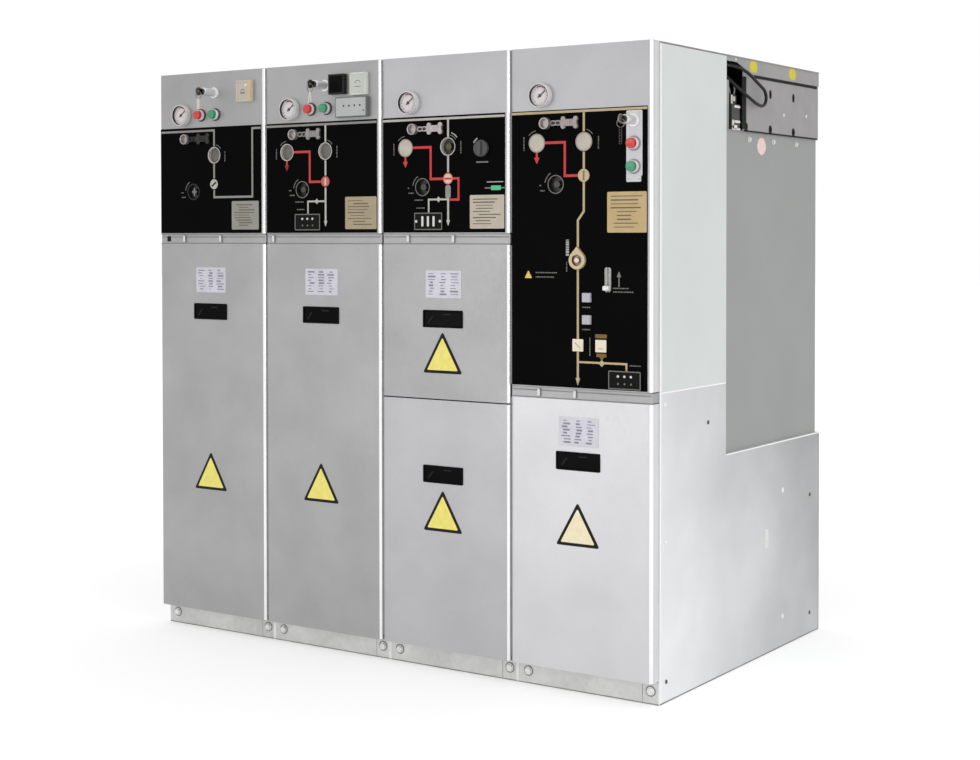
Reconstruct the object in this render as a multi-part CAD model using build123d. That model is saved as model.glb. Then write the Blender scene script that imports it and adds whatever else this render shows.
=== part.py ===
from build123d import *
import math
import os

os.makedirs("parts", exist_ok=True)

# A row of four equal switchgear cubicles, bolted side by side.
# The first three are switch cubicles, the last one is the circuit breaker cubicle.
cubicle_count = 4
cubicle_pitch = 375.0
frame_height = 1475.0
frame_depth = 890.0
plinth_height = 54.0
sheet = 2.0
seat_gap = 0.3
overrun = 5.0

# Front pans: sheet folded back on all sides, with rolled upright edges
pan_depth = 33.0
pan_radius = 9.0
pan_gap = 4.0
rail_band = 26.0
rail_seam = 2.0
rail_setback = 5.0
instrument_height = 144.0
cover_split_share = 0.618
cover_seam = 3.0

# Black mimic plates on the upper fronts
mimic_thickness = 1.5
mimic_left_margin = 5.0
mimic_right_margin = 11.0
mimic_bottom_margin = 2.0

# Base: plinth strips, corner feet and runners with holes for floor bolts
runner_width = 40.0
runner_sheet = 3.0
anchor_hole_radius = 7.0
anchor_inset = 95.0

# Frame posts and walls
post_depth = 25.0
partition_thickness = 4.0
mechanism_depth = 332.0
rear_cover_depth = 25.0
rear_seam = 1.0

# Gas tanks behind the mechanisms
tank_wall = 3.0
tank_corner = 6.0
tank_end_setback = 9.0
tank_rear_setback = 7.0
tank_joint = 0.8
tank_height = 772.0

# Wiring trough over the tanks
trough_height = 178.0
trough_rear_setback = 4.0
lid_lip = 37.0
mouth_lip = 14.0
mouth_slope_start = 60.0
mouth_slope_end = 140.0
trough_mouth = 97.0
end_plate_setback = 4.0
hanging_hole_radius = 4.5
hanging_hole_pitch = 140.0
hanging_hole_rise = 88.0
hanging_hole_level = 12.0
hanging_hole_inset = 158.0

# Columns of the fronts, from each cubicle's left edge
gauge_column = 87.0
red_column = 153.0
green_column = 204.0
key_column = 201.0
black_meter_column = 243.0
meter_column = 311.0
indicator_column = 289.0
earth_column = 75.0
main_column = 200.0
charge_column = 126.0
knob_column = 298.0
voltage_column = 145.0
breaker_voltage_column = 307.0
boss_column = 185.0
push_key_column = 209.0
spring_window_column = 245.0
slider_column = 262.0
strip_column = 330.0
window_column = 184.0

# Drops on the instrument strips, from the top of the row
gauge_drop = 110.0
button_drop = 112.0
key_drop = 55.0
meter_drop = 54.0

# Drops on the mimic plates, from the plates' top edge
lock_drop = 30.0
strip_key_drop = 31.0
strip_button_pitch = 51.0
socket_drop = 74.0
knob_drop = 81.0
charge_drop = 169.0
voltage_drop = 251.0
boss_drop = 341.0

# Steps down the breaker's front, each from the control before it
slider_step = 43.0
push_step = 84.0
push_pitch = 50.0
state_step = 192.0
breaker_voltage_step = 74.0

# From the last control down to a front's lower edge
switch_front_end = 29.0
breaker_front_end = 25.0

# Viewing windows in the cable covers, dropped from each cover's top edge
window_width = 116.0
window_height = 42.0
window_flange = 4.0
window_thickness = 2.5
window_corner = 3.0
window_drop = 178.0
breaker_window_drop = 139.0

# Pressure gauges
gauge_radius = 28.0
gauge_depth = 15.0
gauge_rim = 2.8
gauge_recess = 8.0

# Operating shaft sockets, closed by shutters, and the charging sockets
socket_radius = 22.0
charge_radius = 21.0
socket_wall = 2.0
socket_depth = 14.0
shutter_thickness = 2.0
shaft_radius = 8.0
shaft_stand = 9.0

# Interlock slide bars
lock_left_column = 100.0
lock_right_column = 188.0
lock_height = 17.0
lock_thickness = 7.0
lock_lobe_radius = 6.0
lock_lobe_shares = (0.55, 0.92)
lock_grip_radius = 13.5
lock_grip_depth = 11.0
lock_grip_wall = 3.0
lock_grip_well = 8.0

# Round push-buttons in their collars
bezel_radius = 16.5
bezel_thickness = 3.0
collar_radius = 13.5
collar_reach = 11.0
button_radius = 11.3
button_clearance = 0.3
button_travel = 4.0
button_reach = 20.0
button_edge = 1.5

# Key switches: a long barrel, the lock and its key
key_base_radius = 15.0
key_base_thickness = 4.0
barrel_radius = 10.5
barrel_reach = 46.0
lock_face_radius = 8.5
lock_face_reach = 51.0
key_thickness = 2.5
key_neck = 9.0
key_bow_radius = 11.0
key_eye_radius = 3.5
key_bow_reach = 60.0

# Meters and the indicator on the instrument strip
meter_side = 50.0
meter_depth = 12.0
meter_rim = 4.0
meter_recess = 1.5
meter_corner = 2.0
indicator_width = 98.0
indicator_height = 50.0

# Rotary lock knob
knob_radius = 20.0
knob_depth = 9.0
knob_grip_width = 8.0
knob_grip_depth = 6.0

# Voltage indicators with test sockets
voltage_width = 82.0
voltage_height = 41.0
voltage_thickness = 4.0
voltage_corner = 2.0
test_socket_radius = 3.0
test_socket_depth = 2.0
test_socket_pitch = 16.5

# Breaker controls
strip_width = 40.0
strip_height = 158.0
strip_thickness = 2.0
strip_corner = 4.0
strip_foot_height = 13.0
strip_foot_cut = 3.0
strip_margin = 22.0
boss_radius = 21.0
boss_tip = 31.0
boss_thickness = 8.0
boss_hole_radius = 13.0
boss_hole_depth = 6.0
boss_pin_radius = 6.0
push_side = 21.0
push_clearance = 0.4
push_travel = 4.0
push_stand = 3.0
push_tail = 14.0
push_corner = 1.5
slot_width = 18.0
slot_height = 58.0
slider_clearance = 0.5
slider_travel = 38.0
slider_head_width = 15.0
slider_head_height = 11.0
slider_head_depth = 12.0
slider_lift = 0.5
slider_tail = 9.0
state_side = 28.0
state_thickness = 2.0

# Interlock tabs on the rails
tab_width = 7.0
tab_stand = 4.0
tab_column_shares = ((0.237, 0.581), (0.069,), (0.213, 0.568), (0.208, 0.464))

# Terminals in the trough's mouth
terminal_width = 42.0
terminal_depth = 46.0
terminal_height = 62.0
terminal_inset = 40.0
terminal_cap = 6.0
terminal_upper_height = 24.0

# Control cable that loops out of the trough's mouth and back in
cable_radius = 4.0
grommet_radius = 8.0
grommet_length = 8.0
cable_bend_share = 0.45

# Planes and levels worked out from the sizes above
strip_reach = mimic_thickness + strip_thickness + key_bow_reach + key_bow_radius
y_frame = (pan_depth + strip_reach - frame_depth) / 2
y_face = y_frame - pan_depth
y_mimic = y_face - mimic_thickness
y_rear = y_frame + frame_depth
y_trough = y_frame + mechanism_depth
y_trough_rear = y_rear - trough_rear_setback
z_top = frame_height
z_mimic = z_top - instrument_height
trough_level = z_top - trough_height
shelf_level = trough_level - tank_height
z_boss = z_mimic - boss_drop
z_state = z_boss - state_step
z_breaker_voltage = z_state - breaker_voltage_step
z_switch_front = z_mimic - voltage_drop - switch_front_end
z_breaker_front = z_breaker_voltage - breaker_front_end
side_step_level = z_breaker_front - rail_seam
push_levels = (z_boss - push_step, z_boss - push_step - push_pitch)
z_slider = z_boss - slider_step
half_width = cubicle_pitch * cubicle_count / 2
wall_half = partition_thickness / 2
breaker = cubicle_count - 1


def left_edge(n):
    """X of a cubicle's left edge."""
    return n * cubicle_pitch - half_width


def block(x0, x1, y0, y1, z0, z1):
    """A box between two opposite corners."""
    middle = Pos((x0 + x1) / 2, (y0 + y1) / 2, (z0 + z1) / 2)
    return middle * Box(x1 - x0, y1 - y0, z1 - z0)


def raised(outline, x, z, y_back, thickness):
    """A flat outline, centred at (x, z), raised from y_back towards the front."""
    plane = Plane((x, y_back, z), x_dir=(1, 0, 0), z_dir=(0, -1, 0))
    return extrude(plane * outline, amount=thickness)


def round_bar(x, z, radius, y_back, thickness):
    """A cylinder that stands forward from y_back."""
    return raised(Circle(radius), x, z, y_back, thickness)


def front_bottom(n):
    """Lower edge of a cubicle's upper front."""
    return z_breaker_front if n == breaker else z_switch_front


def cover_top(n):
    """Top edge of a cubicle's cable cover, below the interlock rail."""
    return front_bottom(n) - rail_band


def folded_pan(x0, x1, y_front, y_back, z0, z1, radius):
    """Sheet folded back on all four sides, open behind, with rolled upright edges."""
    blank = block(x0, x1, y_front, y_back, z0, z1)
    rolled = blank.edges().filter_by(Axis.Z).group_by(Axis.Y)[0]
    blank = fillet(rolled, radius)
    open_side = blank.faces().sort_by(Axis.Y)[-1]
    return offset(blank, amount=-sheet, openings=open_side)


def pan_span(n):
    """X of the left and right sides of a cubicle's pans."""
    x = left_edge(n)
    return x + pan_gap / 2, x + cubicle_pitch - pan_gap / 2


def socket_places(n):
    """Centres of a cubicle's shaft sockets, earth switch first."""
    columns = (main_column,) if n == 0 else (earth_column, main_column)
    return [(left_edge(n) + column, z_mimic - socket_drop) for column in columns]


def charge_place(n):
    """Centre of a cubicle's charging socket."""
    return left_edge(n) + charge_column, z_mimic - charge_drop


def front_cuts(n):
    """What passes through a cubicle's upper front and its mimic plate."""
    reach = sheet + mimic_thickness + 2 * overrun
    y_back = y_face + sheet + overrun
    cuts = [round_bar(x, z, socket_radius, y_back, reach) for x, z in socket_places(n)]
    cuts.append(round_bar(*charge_place(n), charge_radius, y_back, reach))
    if n == breaker:
        side = push_side + 2 * push_clearance
        x = left_edge(n)
        for z in push_levels:
            cuts.append(raised(Rectangle(side, side), x + push_key_column, z, y_back, reach))
        slot = SlotOverall(slot_height, slot_width, rotation=90)
        cuts.append(raised(slot, x + slider_column, z_slider, y_back, reach))
    return cuts


def upper_front(n):
    """The upper pan: bare instrument strip above, pierced for the mimic's sockets below."""
    x0, x1 = pan_span(n)
    pan = folded_pan(x0, x1, y_face, y_frame, front_bottom(n), z_top, pan_radius)
    return pan - front_cuts(n)


def mimic_plate(n):
    """The black plate that carries the single-line diagram."""
    x0, x1 = pan_span(n)
    z0 = front_bottom(n) + mimic_bottom_margin
    plate = block(x0 + mimic_left_margin, x1 - mimic_right_margin, y_mimic, y_face, z0, z_mimic)
    return plate - front_cuts(n)


def interlock_rail(n):
    """The channel between upper front and cable cover, with the tabs that lock the cover."""
    x0, x1 = pan_span(n)
    z0 = cover_top(n) + rail_seam
    z1 = front_bottom(n) - rail_seam
    y_front = y_face + rail_setback
    rail = folded_pan(x0, x1, y_front, y_frame, z0, z1, sheet + seat_gap)
    for share in tab_column_shares[n]:
        x = left_edge(n) + share * cubicle_pitch
        rail += block(x - tab_width / 2, x + tab_width / 2, y_front - tab_stand, y_front,
                      z0 + sheet, z1 - sheet)
    return rail


def viewing_window(x, z):
    """Dark window: a flange on the cover's face and a pane that fills the cut-out."""
    outline = RectangleRounded(window_width, window_height, window_corner)
    flange = raised(outline, x, z, y_face, window_thickness)
    pane_width = window_width - 2 * window_flange - 2 * seat_gap
    pane_height = window_height - 2 * window_flange - 2 * seat_gap
    return flange + raised(Rectangle(pane_width, pane_height), x, z, y_face + sheet, sheet)


def cable_cover(n, z0, z1, drop):
    """Lift-off cover of a cable compartment, cut out for its window."""
    x0, x1 = pan_span(n)
    pan = folded_pan(x0, x1, y_face, y_frame, z0, z1, pan_radius)
    cut = Rectangle(window_width - 2 * window_flange, window_height - 2 * window_flange)
    x = left_edge(n) + window_column
    return pan - raised(cut, x, z1 - drop, y_face + sheet + overrun, sheet + 2 * overrun)


def pressure_gauge(n):
    """Round gauge with a raised rim round its dial."""
    x = left_edge(n) + gauge_column
    z = z_top - gauge_drop
    case = round_bar(x, z, gauge_radius, y_face, gauge_depth)
    y_dial = y_face - gauge_depth + gauge_recess
    return case - round_bar(x, z, gauge_radius - gauge_rim, y_dial, gauge_recess + overrun)


def socket_cup(x, z, radius):
    """Tube set into the plate from behind, flush in front."""
    outer = radius - seat_gap
    y_back = y_mimic + socket_depth
    tube = round_bar(x, z, outer, y_back, socket_depth)
    return tube - round_bar(x, z, outer - socket_wall, y_back - shutter_thickness, socket_depth)


def shaft_socket(n, x, z):
    """Operating socket with its shutter closed, or open on its shaft."""
    cup = socket_cup(x, z, socket_radius)
    if n == breaker - 1 and x > left_edge(n) + earth_column:
        cup += round_bar(x, z, shaft_radius, y_mimic + socket_depth, shaft_stand)
    return cup


def charge_socket(n):
    """Charging socket with its hexagon shaft."""
    x, z = charge_place(n)
    shaft = raised(RegularPolygon(shaft_radius, 6), x, z, y_mimic + socket_depth, shaft_stand)
    return socket_cup(x, z, charge_radius) + shaft


def lock_bar(n):
    """Interlock slide between the earth and main sockets: bar with lobes, and a hollow round grip."""
    x = left_edge(n)
    z = z_mimic - lock_drop
    x0 = x + lock_left_column
    x1 = x + lock_right_column
    bar = block(x0, x1, y_mimic - lock_thickness, y_mimic, z - lock_height / 2, z + lock_height / 2)
    for share in lock_lobe_shares:
        x_lobe = x0 + share * (x1 - x0)
        for z_lobe in (z - lock_height / 2, z + lock_height / 2):
            bar += round_bar(x_lobe, z_lobe, lock_lobe_radius, y_mimic, lock_thickness)
    bar += round_bar(x0, z, lock_grip_radius, y_mimic, lock_grip_depth)
    y_well = y_mimic - lock_grip_depth + lock_grip_well
    return bar - round_bar(x0, z, lock_grip_radius - lock_grip_wall, y_well, lock_grip_well + overrun)


def button_bezel(x, z, y_seat):
    """Escutcheon ring and collar of a push-button."""
    ring = round_bar(x, z, bezel_radius, y_seat, bezel_thickness)
    collar = round_bar(x, z, collar_radius, y_seat, collar_reach)
    bore = round_bar(x, z, button_radius + button_clearance, y_seat + overrun, collar_reach + 2 * overrun)
    return ring + collar - bore


def button_head(x, z, y_seat):
    """Push-button head, free to move in by its travel."""
    tail = button_travel + seat_gap
    head = round_bar(x, z, button_radius, y_seat - tail, button_reach - tail)
    return fillet(head.edges().group_by(Axis.Y)[0], button_edge)


def key_switch(x, z, y_seat):
    """Key switch: base ring, long barrel, lock face and the key with its eye."""
    base = round_bar(x, z, key_base_radius, y_seat, key_base_thickness)
    barrel = round_bar(x, z, barrel_radius, y_seat, barrel_reach)
    face = round_bar(x, z, lock_face_radius, y_seat, lock_face_reach)
    y_bow = y_seat - key_bow_reach
    blade = block(x - key_thickness / 2, x + key_thickness / 2, y_bow, y_seat - barrel_reach,
                  z - key_neck / 2, z + key_neck / 2)
    side = Plane((x - key_thickness / 2, y_bow, z), x_dir=(0, 1, 0), z_dir=(1, 0, 0))
    bow = extrude(side * (Circle(key_bow_radius) - Circle(key_eye_radius)), amount=key_thickness)
    eye = extrude(side * Circle(key_eye_radius), amount=key_thickness)
    return base + barrel + face + (blade - eye) + bow


def rimmed_box(x, z, width, height):
    """Flush meter case: a rim round a face set a little back."""
    case = raised(RectangleRounded(width, height, meter_corner), x, z, y_face, meter_depth)
    face = Rectangle(width - 2 * meter_rim, height - 2 * meter_rim)
    return case - raised(face, x, z, y_face - meter_depth + meter_recess, meter_recess + overrun)


def voltage_indicator(x, z):
    """Voltage indicator with two rows of test sockets."""
    outline = RectangleRounded(voltage_width, voltage_height, voltage_corner)
    case = raised(outline, x, z, y_mimic, voltage_thickness)
    for column in (-1, 0, 1):
        for row in (-1, 1):
            hole_x = x + column * test_socket_pitch
            hole_z = z + row * test_socket_pitch / 2
            y_bottom = y_mimic - voltage_thickness + test_socket_depth
            case -= round_bar(hole_x, hole_z, test_socket_radius, y_bottom, test_socket_depth + overrun)
    return case


def teardrop_boss(x, z):
    """Boss of the breaker's shaft: a disc drawn out to a point above, with a sunk pin."""
    rise = boss_radius * boss_radius / boss_tip
    spread = math.sqrt(boss_radius * boss_radius - rise * rise)
    outline = Circle(boss_radius) + Polygon((-spread, rise), (spread, rise), (0, boss_tip), align=None)
    boss = raised(outline, x, z, y_mimic, boss_thickness)
    y_floor = y_mimic - boss_thickness + boss_hole_depth
    boss -= round_bar(x, z, boss_hole_radius, y_floor, boss_hole_depth + overrun)
    return boss + round_bar(x, z, boss_pin_radius, y_floor, boss_hole_depth)


def rotary_knob(x, z):
    """Round knob with a grip bar across it."""
    knob = round_bar(x, z, knob_radius, y_mimic, knob_depth)
    grip = raised(Rectangle(knob_grip_width, 2 * knob_radius - knob_grip_width), x, z, y_mimic,
                  knob_depth + knob_grip_depth)
    return knob + grip


def push_key(x, z):
    """Square push key, guided by the plate and the pan behind it."""
    key = raised(Rectangle(push_side, push_side), x, z, y_mimic + push_tail,
                 push_tail + push_travel + push_stand)
    return fillet(key.edges().group_by(Axis.Y)[0], push_corner)


def slider(x, z):
    """Interlock slider: a head outside and a tongue through its slot, at the slot's low end."""
    tongue_width = slot_width - 2 * slider_clearance
    tongue_height = slot_height - slider_travel - 2 * slider_clearance
    z_low = z - slot_height / 2 + slider_clearance + tongue_height / 2
    tongue = raised(SlotOverall(tongue_height, tongue_width, rotation=90), x, z_low, y_mimic + slider_tail,
                    slider_tail + slider_lift)
    head = raised(RectangleRounded(slider_head_width, slider_head_height, slider_head_height / 4), x, z_low,
                  y_mimic - slider_lift, slider_head_depth)
    return tongue + head


def runner(n, side):
    """Channel of the base along one side of a cubicle, its web against the wall."""
    x_wall = left_edge(n) + wall_half if side < 0 else left_edge(n) + cubicle_pitch - wall_half
    x_open = x_wall - side * runner_width
    y0 = y_frame + runner_sheet
    y1 = y_rear - runner_sheet
    low, high = min(x_wall, x_open), max(x_wall, x_open)
    channel = block(low, high, y0, y1, 0, plinth_height)
    x_inner = x_wall - side * runner_sheet
    x_past = x_open - side * overrun
    channel -= block(min(x_inner, x_past), max(x_inner, x_past), y0 - overrun, y1 + overrun,
                     runner_sheet, plinth_height - runner_sheet)
    x_hole = (x_wall + x_open) / 2
    for y in (y_frame + anchor_inset, y_rear - anchor_inset):
        channel -= Pos(x_hole, y, 0) * Cylinder(anchor_hole_radius, 2 * overrun)
    return channel


def front_post(n, side):
    """Folded upright that carries the pans on one side of a cubicle."""
    x_wall = left_edge(n) + wall_half if side < 0 else left_edge(n) + cubicle_pitch - wall_half
    x_open = x_wall - side * runner_width
    low, high = min(x_wall, x_open), max(x_wall, x_open)
    post = block(low, high, y_frame, y_frame + post_depth, plinth_height, z_top - sheet)
    return post - block(low + sheet, high - sheet, y_frame + sheet, y_frame + post_depth + overrun,
                        plinth_height - overrun, z_top + overrun)


def stepped_wall(x0, x1):
    """Wall of the cable compartments: high in front under the mechanism, low under the tank."""
    side = Plane((x0, y_frame, 0), x_dir=(0, 1, 0), z_dir=(1, 0, 0))
    outline = Polygon((0, 0), (frame_depth, 0), (frame_depth, shelf_level), (mechanism_depth, shelf_level),
                      (mechanism_depth, side_step_level), (0, side_step_level), align=None)
    return extrude(side * outline, amount=x1 - x0)


def upper_side(side):
    """End wall of the mechanism compartment, above the stepped wall."""
    x_out = side * half_width
    x_in = x_out - side * wall_half
    return block(min(x_in, x_out), max(x_in, x_out), y_frame, y_trough, side_step_level, z_top - sheet)


def gas_tank(n):
    """Welded tank body: a rounded square tube along the row, closed at the row's ends by covers."""
    x0 = left_edge(n) + (tank_end_setback + tank_wall if n == 0 else tank_joint / 2)
    x1 = left_edge(n + 1) - (tank_end_setback + tank_wall if n == breaker else tank_joint / 2)
    y1 = y_rear - tank_rear_setback
    centre = (x0, (y_trough + y1) / 2, (shelf_level + trough_level) / 2)
    side = Plane(centre, x_dir=(0, 1, 0), z_dir=(1, 0, 0))
    depth = y1 - y_trough
    height = trough_level - shelf_level
    ring = RectangleRounded(depth, height, tank_corner)
    ring -= RectangleRounded(depth - 2 * tank_wall, height - 2 * tank_wall, tank_corner - tank_wall)
    return extrude(side * ring, amount=x1 - x0)


def tank_cover(side):
    """End cover welded on the last tank."""
    x_out = side * (half_width - tank_end_setback)
    x_in = x_out - side * tank_wall
    y1 = y_rear - tank_rear_setback
    return block(min(x_in, x_out), max(x_in, x_out), y_trough, y1, shelf_level, trough_level)


def tank_shelf(n):
    """Plate under a tank, between the walls of its cubicle."""
    x0 = left_edge(n) + wall_half
    x1 = left_edge(n + 1) - wall_half
    return block(x0, x1, y_trough, y_rear - rear_cover_depth, shelf_level - runner_sheet, shelf_level)


def rear_cover(n):
    """Folded cover behind a cable compartment."""
    x0 = left_edge(n) + wall_half + rear_seam / 2
    x1 = left_edge(n + 1) - wall_half - rear_seam / 2
    pan = block(x0, x1, y_rear - rear_cover_depth, y_rear, plinth_height, shelf_level)
    return pan - block(x0 + sheet, x1 - sheet, y_rear - rear_cover_depth - overrun, y_rear - sheet,
                       plinth_height + sheet, shelf_level - sheet)


def roof_panel(n):
    """Sheet over a mechanism compartment."""
    x0 = left_edge(n) + rear_seam / 2
    x1 = left_edge(n + 1) - rear_seam / 2
    return block(x0, x1, y_frame, y_trough, z_top - sheet, z_top)


def wiring_trough():
    """Open channel along the top of the tanks."""
    x1 = half_width - end_plate_setback - sheet
    trough = block(-x1, x1, y_trough, y_trough_rear, trough_level, z_top - sheet)
    return trough - block(-x1 - overrun, x1 + overrun, y_trough + sheet, y_trough_rear - sheet,
                          trough_level + sheet, z_top + overrun)


def trough_lid():
    """Lid of the trough, turned down over both ends. The right lip is cut back over the mouth."""
    lid = block(-half_width, half_width, y_trough, y_trough_rear, z_top - sheet, z_top)
    lid += block(-half_width, -half_width + sheet, y_trough, y_trough_rear, z_top - lid_lip, z_top)
    side = Plane((half_width - sheet, y_trough, z_top), x_dir=(0, 1, 0), z_dir=(1, 0, 0))
    depth = y_trough_rear - y_trough
    lip = Polygon((0, 0), (depth, 0), (depth, -lid_lip), (mouth_slope_end, -lid_lip),
                  (mouth_slope_start, -mouth_lip), (0, -mouth_lip), align=None)
    return lid + extrude(side * lip, amount=sheet)


def trough_end(side):
    """End plate of the trough. The right one leaves the mouth open and has hanging holes."""
    x_out = side * (half_width - end_plate_setback)
    x_in = x_out - side * sheet
    y0 = y_trough + trough_mouth if side > 0 else y_trough
    plate = block(min(x_in, x_out), max(x_in, x_out), y0, y_trough_rear, trough_level, z_top - sheet)
    if side > 0:
        for column, row in ((-1, 0), (0, 0), (1, 0), (0, 1), (1, 1)):
            y = y0 + hanging_hole_inset + column * hanging_hole_pitch
            z = trough_level + hanging_hole_level + row * hanging_hole_rise
            plate -= Pos(x_in, y, z) * Rot(0, 90, 0) * Cylinder(hanging_hole_radius, 2 * overrun)
    return plate


def terminal_block():
    """Terminals on the trough's floor, in its mouth: a tall lower and a short upper tier."""
    x1 = half_width - end_plate_setback - sheet
    y0 = y_trough + terminal_inset
    z0 = trough_level + sheet
    z1 = z0 + terminal_height
    lower = block(x1 - terminal_width, x1, y0, y0 + terminal_depth, z0, z1)
    upper = block(x1 - terminal_width + terminal_cap, x1 - terminal_cap, y0 + terminal_cap,
                  y0 + terminal_depth - terminal_cap, z1, z1 + terminal_upper_height)
    return lower + upper


def grommet(place):
    """Grommet on the trough's front wall, where the control cable passes."""
    x, y, z = place
    return round_bar(x, z, grommet_radius, y, grommet_length)


# Route of the control cable: out of the upper grommet, round a drooping loop outside the end
# plate and back to the lower grommet. Each place is out from the row's right end, back from the
# grommets and up from the top of the row.
cable_places = [
    (-14, 0, -22), (-14, 24, -22), (-5, 48, -24), (4, 79, -31), (9, 108, -43), (11, 139, -58),
    (12, 165, -68), (12, 180, -76), (12, 187, -91), (12, 181, -106), (12, 166, -113), (11, 146, -112),
    (10, 117, -104), (6, 86, -91), (-4, 58, -75), (-15, 37, -57), (-22, 20, -44), (-22, 0, -44),
]
cable_y = y_trough + sheet + grommet_length
cable_route = [(half_width + x, cable_y + y, z_top + z) for x, y, z in cable_places]


def control_cable():
    """Round cable along its route, each bend as large as its two runs allow."""
    points = [Vector(*point) for point in cable_route]
    runs = [b - a for a, b in zip(points, points[1:])]
    radii = []
    for before, after in zip(runs, runs[1:]):
        turn = math.radians(before.get_angle(after))
        radii.append(cable_bend_share * min(before.length, after.length) / math.tan(turn / 2))
    print("cable bend radii", [round(radius, 1) for radius in radii])
    path = FilletPolyline(*cable_route, radius=radii)
    section = Plane(origin=path @ 0, z_dir=path % 0) * Circle(cable_radius)
    cable = sweep(section, path=path)
    print("cable length", round(path.length, 1), "volume", round(cable.volume),
          "section times length", round(math.pi * cable_radius ** 2 * path.length))
    return cable


parts = {}
names = [str(n + 1) for n in range(cubicle_count)]

# Fronts
for n, name in enumerate(names):
    parts["upper_front_" + name] = upper_front(n)
    parts["mimic_plate_" + name] = mimic_plate(n)
parts["interlock_rails"] = Compound([interlock_rail(n) for n in range(cubicle_count)])
fused = breaker - 1
split_level = plinth_height + cover_split_share * (cover_top(fused) - plinth_height)
split_top = split_level - cover_seam / 2
split_bottom = split_level + cover_seam / 2
covers = {
    "cable_cover_1": (0, plinth_height, cover_top(0), window_drop),
    "cable_cover_2": (1, plinth_height, cover_top(1), window_drop),
    "cable_cover_3_upper": (fused, split_bottom, cover_top(fused), window_drop),
    "cable_cover_3_lower": (fused, plinth_height, split_top, window_drop),
    "cable_cover_4": (breaker, plinth_height, cover_top(breaker), breaker_window_drop),
}
windows = []
for name, (n, z0, z1, drop) in covers.items():
    parts[name] = cable_cover(n, z0, z1, drop)
    windows.append(viewing_window(left_edge(n) + window_column, z1 - drop))
parts["viewing_windows"] = Compound(windows)

# Devices on the fronts
parts["pressure_gauges"] = Compound([pressure_gauge(n) for n in range(cubicle_count)])
parts["shaft_sockets"] = Compound(
    [shaft_socket(n, x, z) for n in range(cubicle_count) for x, z in socket_places(n)])
parts["charge_sockets"] = Compound([charge_socket(n) for n in range(cubicle_count)])
parts["lock_bars"] = Compound([lock_bar(n) for n in range(cubicle_count)])

y_strip = y_mimic - strip_thickness
x_strip = left_edge(breaker) + strip_column
buttons = {}
for n in (0, 1):
    z = z_top - button_drop
    buttons["red_button_" + names[n]] = (left_edge(n) + red_column, z, y_face)
    buttons["green_button_" + names[n]] = (left_edge(n) + green_column, z, y_face)
z_strip_key = z_mimic - strip_key_drop
buttons["red_button_4"] = (x_strip, z_strip_key - strip_button_pitch, y_strip)
buttons["green_button_4"] = (x_strip, z_strip_key - 2 * strip_button_pitch, y_strip)
parts["button_bezels"] = Compound([button_bezel(*place) for place in buttons.values()])
for name, place in buttons.items():
    parts[name] = button_head(*place)

key_places = [(left_edge(n) + key_column, z_top - key_drop, y_face) for n in (0, 1)]
key_places.append((x_strip, z_strip_key, y_strip))
parts["key_switches"] = Compound([key_switch(*place) for place in key_places])

z_meter = z_top - meter_drop
parts["pale_meters"] = Compound(
    [rimmed_box(left_edge(n) + meter_column, z_meter, meter_side, meter_side) for n in (0, 1)])
parts["black_meter"] = rimmed_box(left_edge(1) + black_meter_column, z_meter, meter_side, meter_side)
parts["line_indicator"] = rimmed_box(
    left_edge(1) + indicator_column, z_top - button_drop, indicator_width, indicator_height)
parts["rotary_knob"] = rotary_knob(left_edge(fused) + knob_column, z_mimic - knob_drop)

voltage_places = [(left_edge(n) + voltage_column, z_mimic - voltage_drop) for n in (1, fused)]
voltage_places.append((left_edge(breaker) + breaker_voltage_column, z_breaker_voltage))
parts["voltage_indicators"] = Compound([voltage_indicator(*place) for place in voltage_places])

# Breaker controls
x_breaker = left_edge(breaker)
strip = RectangleRounded(strip_width, strip_height, strip_corner)
strip -= Pos((strip_width - strip_foot_cut) / 2, (strip_foot_height - strip_height) / 2) * Rectangle(
    strip_foot_cut, strip_foot_height)
z_strip = z_strip_key + strip_margin - strip_height / 2
parts["switch_strip"] = raised(strip, x_strip, z_strip, y_mimic, strip_thickness)
parts["shaft_boss"] = teardrop_boss(x_breaker + boss_column, z_boss)
parts["push_key_on"] = push_key(x_breaker + push_key_column, push_levels[0])
parts["push_key_off"] = push_key(x_breaker + push_key_column, push_levels[1])
parts["interlock_slider"] = slider(x_breaker + slider_column, z_slider)
state_plate = Rectangle(state_side, state_side)
parts["state_windows"] = Compound(
    [raised(state_plate, x_breaker + column, z_state, y_mimic, state_thickness)
     for column in (boss_column, spring_window_column)])

# Frame, walls and base
strips = []
for n in range(cubicle_count):
    x0 = left_edge(n) + wall_half
    x1 = left_edge(n + 1) - wall_half
    x_foot = x1 - runner_width
    strips.append(block(x0, x_foot - rear_seam, y_frame, y_frame + runner_sheet, 0, plinth_height))
    strips.append(block(x_foot, x1, y_frame, y_frame + runner_sheet, 0, plinth_height))
    strips.append(block(x0, x1, y_rear - runner_sheet, y_rear, 0, plinth_height))
parts["plinth_strips"] = Compound(strips)
sides = [(n, side) for n in range(cubicle_count) for side in (-1, 1)]
parts["base_runners"] = Compound([runner(n, side) for n, side in sides])
parts["front_posts"] = Compound([front_post(n, side) for n, side in sides])
parts["partition_walls"] = Compound(
    [stepped_wall(left_edge(n) - wall_half, left_edge(n) + wall_half) for n in range(1, cubicle_count)])
parts["left_side_plate"] = stepped_wall(-half_width, -half_width + wall_half)
parts["right_side_plate"] = stepped_wall(half_width - wall_half, half_width)
parts["upper_sides"] = Compound([upper_side(side) for side in (-1, 1)])
parts["rear_covers"] = Compound([rear_cover(n) for n in range(cubicle_count)])
parts["roof_panels"] = Compound([roof_panel(n) for n in range(cubicle_count)])

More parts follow.
